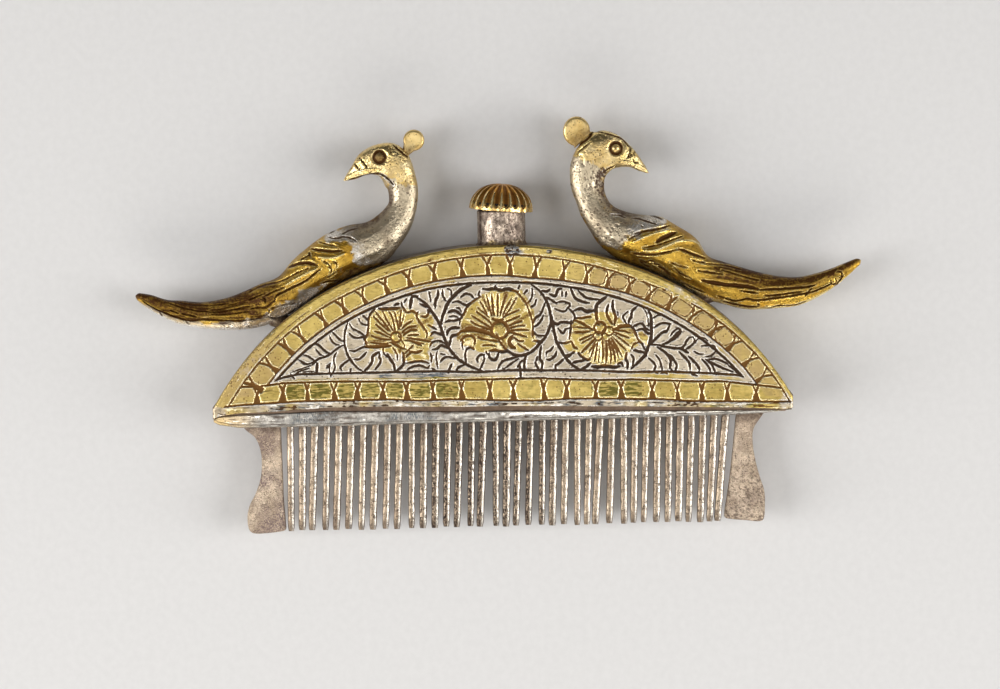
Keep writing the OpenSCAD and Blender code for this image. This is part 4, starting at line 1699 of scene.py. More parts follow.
@dataclass
class EngravedFront:
    """The front sheet: flowers chased in a silver field, inside a gilt border of plaques."""

    arch: Arch
    bar: BarLine
    half_width: float = 43.9
    top: float = 10.0
    thick: float = 0.9
    step: float = 0.112
    chased_low: Pair = (-44.4, -0.6)
    chased_high: Pair = (44.5, 25.9)
    chased_pitch: float = 0.05
    edge_round: float = 0.4
    rim_round: float = 0.12
    line_depth: float = 0.15
    graver: float = 1.32
    swell: float = 0.035
    hollow_grain: float = 7.0
    pieces: list[Object] = field(default_factory=list)

    def cut_between(self, sheet: Chasing, place: Callable[[float, float], Pair], seed: int, spread: float,
                    bold: float = 1.0) -> None:
        """Cuts the forked notch that parts two plaques.

        Args:
            sheet: the sheet being worked.
            place: turns a sideways shift and a share of the way across the border into x and y.
            seed: fixes the notch's hand-cut lean and arms.
            spread: how far the arms of the fork reach sideways.
            bold: its strength, less where the border is worn.
        """
        random = np.random.default_rng(seed)
        lean, foot = random.uniform(-0.14, 0.14) / bold ** 2, random.uniform(0.4, 0.66) * bold
        waist = random.uniform(0.14, 0.24) * bold
        fork = random.uniform(0.34, 0.52)
        stem = [(-waist, fork), (waist, fork), (lean + foot, 0.99), (lean - foot, 0.99)]
        sheet.sink(np.array([place(u, v) for u, v in stem]), self.line_depth * 1.1, 0.16 * bold)
        for way in (-1, 1):
            reach = way * spread * random.uniform(0.75, 1.25)
            arm = [(0, fork + 0.12), (0.5 * reach, 0.22), (reach, 0.02)]
            width = random.uniform(0.3, 0.48) * bold
            sheet.draw(Stroke(False, width, np.array([place(u, v) for u, v in arm])), self.line_depth, 0.95)

    def chase(self) -> Chasing:
        """Works the whole sheet.

        Returns:
            The worked surface.
        """
        sheet = Chasing(self.chased_low, self.chased_high, self.chased_pitch)
        x, y, deep = sheet.x, sheet.y, self.line_depth
        run, inset = self.arch.places(x, y)
        at = Ground(run, inset, RIM_LINE(run), PLAQUE_LINE(run), FIELD_LINE(run), FIELD_FOOT(x),
                    STRIP_FOOT(x), PLAQUE_FOOT(x))
        self.gild(sheet, at)
        worn_rim = (run > 21.5) & (run < 31) & (rough(x, y, 2.2, 4) > -0.1)
        sheet.line(inset - at.rim, (y > at.low - 0.2) & ~worn_rim, 0.27, deep, 0.95)
        sheet.line(inset - at.rim + 0.75, (run < -31) & (run > -40) & (y > at.strip), 0.22, 0.07, 0.7)
        sheet.line(inset - at.plaque, y > at.strip, 0.3, deep, 0.95)
        sheet.line(inset - at.inner, y > at.foot - 0.1, 0.4, deep * 1.25, 1)
        sheet.line(y - at.foot, inset > at.inner - 0.1, 0.36, deep, 1)
        sheet.line(y - at.strip, inset > at.rim - 0.1, 0.3, deep, 1)
        sheet.line(y - at.low, inset > at.rim * 0.7, 0.3, deep, 0.95)
        for number, where in enumerate(ARCH_CUTS):
            high, low = RIM_LINE(where), PLAQUE_LINE(where)
            self.cut_between(sheet, lambda u, v: self.arch.point(
                where + u * (1.08 - 0.1 * v), high + v * (low - high)), 40 + number, 0.62,
                1.0 if where < 14 else 0.82)
        random = np.random.default_rng(130)
        worn = [where for where in ARCH_CUTS if 13 < where < 41]
        for first, last in zip(worn, worn[1:]):
            cell = WORN_CELL + random.uniform(-0.05, 0.05, WORN_CELL.shape)
            along = first + (last - first) * cell[:, 0]
            depth = RIM_LINE(along) + cell[:, 1] * (PLAQUE_LINE(along) - RIM_LINE(along))
            sheet.draw(Stroke(False, 0.2, np.stack(self.arch.point(along, depth), 1)), 0.08, 0.8)
        for number, where in enumerate(BASE_CUTS):
            self.cut_between(sheet, lambda u, v: (where + u, STRIP_FOOT(where + u) + v * (
                PLAQUE_FOOT(where + u) - STRIP_FOOT(where + u))), 90 + number, 0.5)
        for part in FIELD_WORK.values():
            for stroke in strokes(part):
                depth = min(0.24, 0.07 + 0.34 * stroke.width)
                sheet.draw(stroke._replace(width=stroke.width * self.graver), depth, 1.0, 0.34)
        for centre, radius, height in KNOBS:
            sheet.ring(centre, radius * 1.1, radius * 0.34, 0.12)
            sheet.dome(centre, radius, height)
        self.soil(sheet, at)
        return sheet

    def gild(self, sheet: Chasing, at: Ground) -> None:
        """Gilds the border and the flowers, paints highlight and shade on the flowers' rays, and thins the
        gold where it is rubbed.

        Args:
            sheet: the sheet being worked.
            at: where its cells lie.
        """
        x, y, run, inset = sheet.x, sheet.y, at.run, at.inset
        wear, fine, over = rough(x, y, 2.6, 11), rough(x, y, 0.5, 14), y > at.strip
        haze = 0.05 + 0.3 * ease(2, -14, x) * (0.7 + 0.6 * wear)
        sheet.gilt[:] = np.where((inset < at.inner) | (y < at.strip), 1.0, haze)
        faded = ease(9, 19, run) * ease(64, 42, run) * (inset > at.rim) + 0.8 * ease(-34, -43, run)
        arched = (inset < at.plaque) & (y > at.strip - 1.5)
        sheet.fade[:] = unit(faded * (0.85 - 0.4 * wear + 0.3 * fine)) * arched
        sheet.most("fade", 0.45 * ease(-36, -40, x) * (y < at.strip))
        for petal, (centre, _, _) in zip(PETALS.values(), KNOBS):
            part, cover = sheet.mask(chart(petal), 0.5)
            sheet.gilt[part] += (1 - sheet.gilt[part]) * cover
            # Fine rays in each flower: raised, with painted highlights on their ridges and painted shade
            # between them.
            turn = np.arctan2(y[part] - centre[1], x[part] - centre[0])
            rays = lattice(6.4 * turn, 0.4 * sheet.away(centre, part), 29) * cover
            sheet.rise[part] += 0.05 * unit(rays)
            sheet.most("rub_and_highlight", 0.8 * unit(1.7 * rays - 0.5), part)
            sheet.most("grime_and_shade", 0.56 * unit(-2.4 * rays - 0.3), part)
        sheet.lay("gilt", (inset > at.plaque) & (inset < at.inner) & over, 0.38 + 0.5 * wear + 0.25 * fine)
        base_strip = over & (y < at.foot) & (inset > at.inner)
        low_half = y < 0.62 * at.strip + 0.38 * at.foot
        pale = np.where(x > 15, 0.5, np.where(low_half & (x < 2), 0.75, 0.08))
        sheet.lay("gilt", base_strip, pale + 0.3 * wear)
        ends = 0.6 * ease(-38, -41.5, x) + 0.4 * ease(28, 38, x)
        sheet.lay("gilt", y < at.low - 0.1, 0.3 + 0.45 * wear + ends)
        for first, last, share in ((22.5, 32.5, 0.6), (-47.5, -41.5, 0.6), (-1.5, 4.5, 0.35)):
            bare = ease(first - 1.5, first + 1, run) * ease(last + 1.5, last - 1, run)
            sheet.gilt -= share * bare * ease(-0.45, 0.35, wear + 0.5 * fine) * (inset < at.rim)
        sheet.lay("film_and_sheen", base_strip & (x > -18.6) & (x < -4.9), 0.85 * ease(-0.7, 0.2, wear))
        sheet.lay("film_and_sheen", base_strip & (x < -18.6), 0.25 * ease(-0.7, 0.2, wear))
        cells = (y < at.strip - 0.35) & (y > at.low + 0.35) & (inset > at.rim)
        dull = ((x > -33.1) & (x < -6.4)) | ((x > 13.4) & (x < 21.0))
        sheet.lay("film_and_sheen", cells & dull, 0.75 + 0.5 * fine)
        sheet.lay("film_and_sheen", cells & ~dull, 0.12 + 0.3 * fine)

    def soil(self, sheet: Chasing, at: Ground) -> None:
        """Adds specks, the solder spot and the chips, and rubs the gold off sharp edges.

        Args:
            sheet: the sheet being worked.
            at: where its cells lie.
        """
        x, y, run, inset = sheet.x, sheet.y, at.run, at.inset
        rim, bare = inset < at.rim, unit(1 - sheet.gilt)
        specks = unit(rough(x, y, 0.32, 21) - 0.44) * 3.2
        sheet.most("grime_and_shade", np.clip(specks * np.where(rim, 0.9 + 1.2 * bare, 0.55), 0, 0.85))
        scored = lattice(run / 2.2, inset / 0.12, 38) + 0.5 * lattice(run / 0.6, inset / 0.16, 39)
        sheet.most("grime_and_shade", rim * 0.62 * unit(2 * scored - 0.9))
        sheet.rise += 0.02 * rim * scored
        sheet.most("rub_and_highlight", rim * 0.7 * unit(-1.6 * scored - 0.5))
        for (cx, cy), radius in ((SOLDER_SPOT, 1.0), (CHIP, 0.3)):
            ragged = radius * (1 + 0.5 * lattice(x * 2.2, y * 2.2, 5))
            spot = ease(1, 0.55, np.hypot((x - cx) / 1.5, y - cy) / ragged)
            sheet.most("grime_and_shade", spot * unit(0.5 + 2.4 * rough(x, y, 0.22, 23)))
            sheet.gilt -= 0.8 * spot
            sheet.most("film_and_sheen", 0.9 * spot)
            sheet.most("cut", 0.05 * spot)
        sheet.gilt -= 0.35 * unit(sheet.rise / (0.3 * self.line_depth)) * (inset > 0.2)
        hatch = 0.5 * lattice(x / 0.8 + 0.4 * y, y / 0.13, 31)
        hatch += 0.5 * lattice(x / 1.3 - 0.6 * y, y / 0.17, 33)
        sheet.rise += 0.02 * hatch * bare
        field_ground = bare * (inset > at.inner) * (y > at.strip)
        sheet.most("grime_and_shade", field_ground * 0.62 * unit(-1.8 * hatch - 0.15))
        low = (y < at.low - 0.1) & (inset > 0.3)
        streaks = lattice(x / 2.6, y / 0.16, 35) + 0.7 * lattice(x / 0.5, y / 0.2, 36)
        sheet.most("grime_and_shade", low * 0.75 * unit(1.9 * streaks - 0.45))
        sheet.most("rub_and_highlight", low * unit(-1.5 * streaks - 0.3))
        sheet.lay("film_and_sheen", low, np.clip(0.3 + 1.2 * rough(x, y, 1.6, 37), 0, 0.9))
        tips = ease(2.2, 0.9, np.hypot(x - 43.4, y - 1.0)) + ease(1.8, 0.7, np.hypot(x + 43.4, y - 0.9))
        sheet.gilt -= 0.8 * tips * (0.7 + 0.5 * rough(x, y, 0.9, 24))
        for stroke in strokes(TANGLES):
            sheet.draw(stroke, 0.06, 0.5)

    def raise_sheet(self, x: Points, y: Points, sheet: Chasing, name: str, finish: Material) -> None:
        """Makes one part of the front from its grid of places.

        Args:
            x: grid of places along the comb.
            y: grid of heights.
            sheet: the worked surface.
            name: the piece's name.
            finish: its material.
        """
        _, inset = self.arch.places(x, y)
        drop = 0.8 * fillet(self.edge_round, np.minimum(inset, self.half_width - np.abs(x)))
        drop += fillet(self.rim_round, y - self.bar.plate_foot(x))
        dents = self.swell * rough(x + 60, y + 60, self.hollow_grain, 3)
        z = self.top + sheet.relief(x, y) - drop + dents - self.swell * 0.6
        skin = slab(np.stack([x, y, z], -1), self.top - self.thick, sheet.paints(x, y))
        self.pieces.append(skin.piece(name, finish))

    def build(self, finish: Material) -> None:
        """Builds the field and the two parts of the border.

        Args:
            finish: the engraved metal.
        """
        sheet = self.chase()
        run = np.arange(-56, 56, 0.05)
        line_x, line_y = self.arch.point(run, FIELD_LINE(run))
        across = np.arange(-42, 42, 0.02)
        low, high = across[np.interp(across, line_x, line_y) - STRIP_FOOT(across) > 0.06][[0, -1]]
        x = np.linspace(low, high, int((high - low) / self.step))
        grid = between(x, STRIP_FOOT(x), np.interp(x, line_x, line_y), np.linspace(0, 1, 132))
        self.raise_sheet(*grid, sheet, "engraved_field", finish)
        self.border(sheet, finish)
        x = np.linspace(-self.half_width, self.half_width, int(2 * self.half_width / self.step))
        head = np.minimum(STRIP_FOOT(x), self.arch.height(x))
        grid = between(x, self.bar.plate_foot(x), head, np.linspace(0, 1, 44))
        self.raise_sheet(*grid, sheet, "base_border", finish)

    def border(self, sheet: Chasing, finish: Material) -> None:
        """Builds the arched part of the border, down to the strip over the base.

        Args:
            sheet: the worked surface.
            finish: the engraved metal.
        """
        run = np.arange(-56, 56, 0.01)
        edge_x, edge_y = self.arch.point(run, np.zeros(run.shape))
        low, high = run[edge_y > STRIP_FOOT(edge_x) + 0.05][[0, -1]]
        run = np.linspace(low, high, int((high - low) / self.step))
        way = np.linspace(0, 6, 241)
        x, y = self.arch.point(run[:, None], way[None])
        over = y - STRIP_FOOT(x)
        last = np.maximum((over > 0).sum(1) - 1, 0)
        rows = np.arange(len(run))
        after = np.minimum(last + 1, len(way) - 1)
        slope = np.maximum(over[rows, last] - over[rows, after], 1e-6)
        crossing = way[last] + unit(over[rows, last] / slope) * (way[1] - way[0])
        inner = np.minimum(FIELD_LINE(run), crossing)
        rounding = self.edge_round * (1 - np.cos(quarter(6))) / 6
        share = np.concatenate([rounding, np.linspace(rounding[-1], 1, 50)[1:]])[::-1]
        x, y = self.arch.point(run[:, None], inner[:, None] * share[None])
        self.raise_sheet(x, y, sheet, "arch_border", finish)


@dataclass
class FlaskBody:
    """What stands behind the engraved front: the lip, the bar and the plain back."""

    arch: Arch
    bar: BarLine
    depth: float = 10.0
    thick: float = 0.9
    lip_depth: float = 1.7
    bar_foot: float = -0.6
    bar_top: float = 1.9
    corner_wear: float = 1.2
    groove_depth: float = 0.38
    half_width: float = 43.9
    edge_round: float = 0.4
    scratches: int = 46

    def lip(self, finish: Material) -> Object:
        """Builds the stepped lip that hangs over the teeth's roots.

        Args:
            finish: rubbed blue-grey silver.

        Returns:
            The piece.
        """
        x = np.linspace(-self.half_width + 0.1, self.half_width - 0.2, 700)
        low = self.bar.lip_foot(x)
        high = np.maximum(self.bar.lip_top(x), low + 0.1)
        share = np.concatenate([np.linspace(0, 0.12, 5), np.linspace(0.12, 1, 18)[1:]])
        grid, y = between(x, low, high, share)
        up, down = y - low[:, None], high[:, None] - y
        ledge = 0.42 + 0.07 * lattice(grid / 2.3, grid * 0, 7)
        drop = 0.34 * ease(0.16, 0, up) + 0.2 * ease(ledge + 0.1, ledge - 0.06, up)
        drop += 0.16 * ease(0.16, 0, down)
        nicks = unit(lattice(grid / 0.35, y / 2.5, 8) - 0.45) * 0.1
        z = self.depth - drop - nicks - 0.02 + 0.02 * rough(grid, y, 5, 9)
        # Painted highlights along the lower edge, the step and the top edge, and wiped bright patches that
        # grow towards the right end.
        rub_and_highlight = 0.9 * ease(0.13, 0.04, up) + 0.85 * bell((up - ledge - 0.12) / 0.05)
        rub_and_highlight += 0.5 * bell((down - 0.2) / 0.06)
        rub_and_highlight *= 0.75 + 0.5 * lattice(grid / 1.7, y, 18)
        wiped = lattice(grid / 3.4, y / 0.2, 13) + 0.6 * lattice(grid / 0.7, y / 0.25, 14)
        rub_and_highlight += unit(1.4 * wiped - 0.8 + 1.35 * ease(-4, 12, grid)) * ease(ledge, ledge + 0.15, up)
        film_and_sheen = np.full(grid.shape, 0.15)
        for start, end, amount in LIP_FILMS:
            cover = ease(start - 1.2, start + 1.6, grid) * ease(end + 1.2, end - 1.6, grid)
            blotch = 0.75 + 0.6 * rough(grid, y, 1.1, 16)
            film_and_sheen = np.maximum(film_and_sheen, amount * cover * blotch * ease(ledge, ledge + 0.2, up))
        gilt = np.maximum(0.62 * ease(-40.6, -42, grid), ease(37, 43, grid) * 0.4)
        # Darker along the top edge by the groove and in the step's corner as painted shade, with specks,
        # nicks and wiped grime.
        grime_and_shade = 0.9 * ease(0.14, 0.02, down) + 0.45 * ease(0.09, 0, np.abs(up - ledge))
        grime_and_shade += 1.6 * unit(rough(grid, y, 0.6, 12) - 0.4) + 3.5 * nicks + 0.6 * unit(-1.8 * wiped - 0.5)
        paint = {"gilt": unit(gilt * (0.9 + 0.6 * rough(grid, y, 1.1, 6))),
                 "grime_and_shade": np.clip(grime_and_shade, 0, 0.95), "film_and_sheen": unit(film_and_sheen), "rub_and_highlight": unit(rub_and_highlight),
                 "fade": 0.9 * ease(-36, -41, grid)}
        skin = slab(np.stack([grid, y, z], -1), self.depth - self.lip_depth, paint)
        return skin.piece("base_lip", finish)

    def block(self, finish: Material) -> Object:
        """Builds the bar between the two sheets, which carries the teeth.

        Args:
            finish: stained silver.

        Returns:
            The piece.
        """
        inner = self.half_width - self.corner_wear
        foot = np.stack([np.linspace(-inner, inner, 260), np.full(260, self.bar_foot)], 1)
        foot[1:-1, 1] += 0.05 * rough(foot[1:-1, 0], foot[1:-1, 0] * 0, 2.2, 15)
        side = np.array([[self.half_width, 0.4], [self.half_width, self.bar_top]])
        head = np.stack([np.linspace(self.half_width, -self.half_width, 260)[1:-1],
                         np.full(258, self.bar_top)], 1)
        outline = np.vstack([foot, side, head, side[::-1] * [-1, 1]])
        low, high = self.thick, self.depth - self.groove_depth
        heights = np.concatenate([low + 0.3 * (1 - np.cos(quarter(5))),
                                  np.linspace(low + 0.3, high - 0.3, 16)[1:-1],
                                  high - 0.3 + 0.3 * np.sin(quarter(5))])
        rings = np.repeat(np.concatenate([outline, np.zeros((len(outline), 1))], 1)[None], len(heights), 0)
        rings[:, :, 2] = heights[:, None]
        tuck = fillet(0.3, np.minimum(heights - low, high - heights))
        rings[:, :, 1] += tuck[:, None] * ease(0.6, -0.6, outline[:, 1])[None] * 0.8
        stain_and_shade = unit(0.55 + 0.3 * rough(rings[:, :, 0], rings[:, :, 2], 1.2, 17))
        paint = {"gilt": 0 * stain_and_shade, "film_and_sheen": 0 * stain_and_shade, "grime_and_shade": stain_and_shade}
        return loft(rings, paint).piece("base_block", finish, 50)

    def back(self, finish: Material) -> Object:
        """Builds the plain back sheet, scratched and dented by use.

        Args:
            finish: plain silver.

        Returns:
            The piece.
        """
        x = np.linspace(self.half_width, -self.half_width, 240)
        foot = self.bar_foot + np.clip(np.abs(x) - (self.half_width - self.corner_wear), 0, None) * 0.83
        edge = self.edge_round * (1 - np.cos(quarter(6))) / 26
        share = np.concatenate([edge, np.linspace(edge[-1], 1 - edge[-1], 84)[1:-1], 1 - edge[::-1]])
        grid, y = between(x, foot, self.arch.height(x), share)
        _, inset = self.arch.places(grid, y)
        gap = np.minimum(np.minimum(inset, self.half_width - np.abs(grid)), y - foot[:, None])
        line = bell((gap - 1.7) / 0.16)
        dents = 0.05 * rough(grid + 80, y + 80, 8, 41) + 0.012 * rough(grid, y, 1.1, 43)
        scratch = np.zeros(grid.shape)
        random = np.random.default_rng(44)
        for _ in range(self.scratches):
            ax, ay = random.uniform(-38, 38), random.uniform(0, 20)
            turn, length = random.uniform(0, math.pi), random.uniform(3, 11)
            along = (grid - ax) * math.cos(turn) + (y - ay) * math.sin(turn)
            side = (y - ay) * math.cos(turn) - (grid - ax) * math.sin(turn) + 0.01 * along ** 2
            line_cut = bell(side / 0.13) * (np.abs(along) < length / 2)
            scratch = np.maximum(scratch, random.uniform(0.3, 1) * line_cut)
        z = 0.06 + 0.8 * fillet(self.edge_round, gap) + 0.1 * line + dents + 0.02 * scratch
        # Patchy, darker within a few millimetres of the edges and on the raised line.
        tarnish_and_shade = ease(0.0, 0.9, rough(grid, y, 9, 47)) * 0.45 + 0.5 * ease(2.6, 0.4, gap)
        grime_and_shade = tarnish_and_shade * (0.6 + 0.5 * rough(grid, y, 0.7, 48)) + 0.8 * line - 0.25 * scratch
        film_and_sheen = unit(0.7 * ease(0.1, 0.8, rough(grid, y, 6, 51)))
        paint = {"gilt": 0 * grid, "film_and_sheen": film_and_sheen, "grime_and_shade": unit(grime_and_shade)}
        return slab(np.stack([grid, y, z], -1), self.thick, paint).piece("back_sheet", finish)


@dataclass
class Peacock:
    """One cast peacock, soldered to the flask's shoulder, with its flat crest."""

    side: Side
    arch: Arch
    rows: Points
    work: str
    silver: tuple[str, ...]
    saddle: str
    solder: tuple[float, float, float, float]
    eye: Pair
    bright_eye: bool
    tarnish_and_shade: float
    pitted: tuple[tuple[str, int, float], ...]
    crest_centre: Pair
    crest_half: Pair
    crest_root: tuple[Pair, Pair]
    stem: float
    middle: float = 5.0
    seat_gap: float = 0.1
    seat_reach: float = 43.5
    spacing: float = 0.2
    around: int = 150
    fullness: float = 0.7
    crest_thick: float = 1.5

    def chase(self) -> Chasing:
        """Works the casting: feathers, beak, eye, pits and the rubbed silver places.

        Returns:
            The worked surface, as seen from the front.
        """
        low, high = (-56, -8) if self.side is Side.LEFT else (8, 56)
        cast = Chasing((low, 11.5), (high, 45), 0.06)
        x, y = cast.x, cast.y
        cast.gilt[:] = 1
        wear = rough(x, y, 1.6, 61)
        for outline in self.silver:
            part, cover = cast.mask(chart(outline), 3.2)
            ragged = cover + 0.4 * wear[part] + 0.3 * rough(x[part], y[part], 0.5, 62)
            cast.gilt[part] *= 1 - ease(0.1, 0.85, ragged)
        for stroke in strokes(self.work):
            if stroke.raised:
                cast.draw(stroke, min(0.3, 0.42 * stroke.width), 0)
            else:
                cast.draw(stroke, min(0.36, 0.12 + 0.8 * stroke.width), 0.95, 0.34)
        # The saddle: solder stain between belly and rim, also darkened as painted shade for that gap.
        part, cover = cast.mask(chart(self.saddle), 0.5)
        lumps = rough(x[part], y[part], 0.7, 63)
        cast.most("cut", cover * (0.3 + 0.2 * lumps), part)
        saddle_stain_and_shade, gold = (0.66, 0.6) if self.side is Side.LEFT else (0.4, 1.0)
        cast.most("grime_and_shade", cover * (saddle_stain_and_shade + 0.4 * lumps), part)
        cast.gilt[part] += (gold - cast.gilt[part]) * cover
        for outline, count, size in self.pitted:
            cast.pits(chart(outline), count, size, 65 + count)
        cast.ring(self.eye, 0.86, 0.4, 0.34)
        cast.dome(self.eye, 0.62, 0.22)
        pupil = np.hypot(x - self.eye[0], y - self.eye[1])
        cast.most("grime_and_shade", ease(0.2, 0.12, pupil) if self.bright_eye else 0.62 * ease(0.8, 0.6, pupil))
        cast.gilt -= 0.3 * unit(cast.rise / 0.2)
        cast.most("grime_and_shade", unit(rough(x, y, 1.7, 67) - 0.1) * 0.6)
        cast.rise += 0.025 * rough(x, y, 1.3, 68) + 0.012 * rough(x, y, 0.35, 69)
        return cast

    def turns(self) -> Points:
        """Angles that stand evenly round a section.

        Returns:
            One angle for each point round the section.
        """
        fine = np.linspace(0, 2 * math.pi, 4001)
        x, y = self.rounded(np.cos(fine)) * 1.3, self.rounded(np.sin(fine))
        walked = np.concatenate([[0], np.cumsum(np.hypot(np.diff(x), np.diff(y)))])
        return np.interp(np.arange(self.around) / self.around * walked[-1], walked, fine)

    def rounded(self, value: Points) -> Points:
        """Fills a circle's coordinate out towards a box."""
        return np.sign(value) * np.abs(value) ** self.fullness

    def body(self, finish: Material) -> Object:
        """Builds the bird with the solder that holds it.

        Args:
            finish: cast, chased and gilt silver.

        Returns:
            The piece.
        """
        cast = self.chase()
        numbers = np.arange(len(self.rows), dtype=float)[:, None]
        sections = evenly(flowing(np.hstack([self.rows, numbers]), 10), self.spacing * math.sqrt(2), 4)
        outer, inner, place = sections[:, 0:2].copy(), sections[:, 2:4], sections[:, 6:7]
        floor = self.arch.height(outer[:, 0]) + self.seat_gap
        seated = np.abs(outer[:, 0]) < self.seat_reach
        outer[:, 1] = np.where(seated, np.maximum(outer[:, 1], floor), outer[:, 1])
        centre, half = (outer + inner) / 2, (outer - inner) / 2
        turn = self.turns()
        along, deep = self.rounded(np.cos(turn)), self.rounded(np.sin(turn))
        wing = ease(0.66, 0.36, along) * ease(-1.0, -0.84, along)
        x = centre[:, 0:1] + half[:, 0:1] * along
        y = centre[:, 1:2] + half[:, 1:2] * along
        thick = sections[:, 4:5] + sections[:, 5:6] * wing
        neck = ease(4.8, 6.2, place) * ease(12.2, 10.2, place)
        facet = unit((-0.3 - along) / 0.7) ** 0.8 * 0.3
        flat = unit((along - 0.25) / 0.75) * 0.06
        deep = deep * (1 - neck * (facet + flat) * (np.abs(np.sin(turn)) > 0.02))
        facing = unit(np.abs(np.sin(turn)) * 1.25)
        relief = cast.relief(x, y)
        soft = np.clip(thick * np.abs(deep) - 0.1, 0, None)
        z = np.sign(deep) * np.maximum(thick * np.abs(deep) + np.maximum(relief, -soft) * facing, 0)
        bow = 0.35 * np.clip(relief, -0.3, 0.2) * (1 - facing)
        x, y = x + bow * half[:, 0:1] * along / 4, y + bow * half[:, 1:2] * along / 4
        paint = self.age(cast.paints(x, y), np.stack([x, y, z]), along, place, neck)
        ends = np.minimum(np.arange(len(x)), np.arange(len(x))[::-1])[:, None] * self.spacing
        blunt = np.sqrt(np.clip(ends / 0.5, 0.02, 1))
        x, y = centre[:, 0:1] + (x - centre[:, 0:1]) * blunt, centre[:, 1:2] + (y - centre[:, 1:2]) * blunt
        skin = loft(np.stack([x, y, self.middle + z * blunt], -1), paint).joined(self.lump(*self.solder))
        return skin.piece(f"peacock_{self.side.name.lower()}_chased", finish, 88)

    def age(self, paint: dict[str, Points], places: Points, along: Points, place: Points,
            neck: Points) -> dict[str, Points]:
        """Paints shade on the upper side and throat, tarnishes the feathers, fades the head and paints the
        keel bright.

        Args:
            paint: the masks of the worked casting.
            places: where each point lies.
            along: its place across the bird, from -1 inside to 1 outside.
            place: its place from the beak to the tail, as a row of the bird's table.
            neck: how much it belongs to the neck.

        Returns:
            The masks of the aged casting.
        """
        x, y, z = places
        # Painted shade on the throat's inner facet, which faces away from the light.
        throat_shade = neck * ease(-0.52, -0.8, along) * (0.66 + 0.2 * rough(x, y + z, 0.5, 71))
        streaks = 0.8 + 0.3 * rough(x * 0.5, y * 2.2, 1.4, 72)
        tail = 0.4 + 0.6 * ease(13.5, 16.5, place)
        # Painted shade over the upper side of the tail, reaching further down on the more tarnished bird.
        low = 0.7 * (self.tarnish_and_shade - 0.5)
        painted_top_shade = tail * ease(10, 13, place) * ease(0.55 + low, low - 0.55, along) * streaks
        feathered = ease(11, 13, place) * ease(0.75, 0.5, along)
        tarnish_and_shade = self.tarnish_and_shade * feathered * unit(0.5 + 1.3 * rough(x * 0.3, y * 1.7, 0.7, 75))
        aged = self.tarnish_and_shade * ease(13.5, 16.5, place)
        rub_and_highlight = paint["rub_and_highlight"] * (1 - 0.5 * aged)
        tarnish_and_top_shade = np.maximum(painted_top_shade, tarnish_and_shade * tail) * (1 - 0.8 * (1 - 0.7 * aged) * rub_and_highlight)
        grime_and_shade = unit(np.maximum.reduce([paint["grime_and_shade"], throat_shade, tarnish_and_top_shade]))
        worn = rough(x, y, 0.9, 74)
        fade = unit(ease(8.6, 6.6, place) * paint["gilt"] * (0.75 + 0.4 * worn))
        # Painted highlights on the keel and on the bare silver at the tail root, where grime is also
        # lightened. The tail's lower edge loses gold: paler both from wear and as a painted highlight.
        keel_highlight = ease(12, 15, place) * ease(0.62, 0.92, along) * (0.85 + 0.5 * worn)
        grime_and_shade *= 1 - 0.65 * (1 - paint["gilt"]) * ease(14, 16, place)
        bare = (1 - paint["gilt"]) * ease(10, 12, place) * (0.7 + 0.4 * worn)
        edge = ease(13, 16, place) * ease(0.3, 0.62, along + 0.25 * worn)
        rub_and_highlight = unit(np.maximum(rub_and_highlight, np.maximum(keel_highlight, bare * (grime_and_shade < 0.5))))
        return paint | {"gilt": paint["gilt"] - 0.8 * self.tarnish_and_shade ** 2 * edge, "grime_and_shade": grime_and_shade, "rub_and_highlight": rub_and_highlight,
                        "fade": fade}

    def lump(self, x: float, y: float, half_wide: float, half_tall: float) -> Skin:
        """Lump of solder between the bird and the flask's edge.

        Args:
            x: its middle along the comb.
            y: its middle height.
            half_wide: half its width.
            half_tall: half its height.

        Returns:
            Its closed skin.
        """
        rise = np.radians(np.linspace(-86, 86, 15))[:, None]
        turn = np.linspace(0, 2 * math.pi, 28, endpoint=False)[None]
        bump = 1 + 0.16 * lattice(turn * 1.6 + 0 * rise, rise * 2 + x, 73)
        px = x + half_wide * np.cos(rise) * np.cos(turn) * bump
        py = y + half_tall * np.sin(rise) * np.ones(turn.shape)
        pz = self.middle - 1.9 * np.cos(rise) * np.sin(turn) * bump
        stain_and_shade = unit(0.75 + 0.3 * lattice(px * 2, pz * 2, 75))
        return loft(np.stack([px, py, pz], -1), {"gilt": 0 * px + 0.3, "grime_and_shade": stain_and_shade, "film_and_sheen": 0 * px})

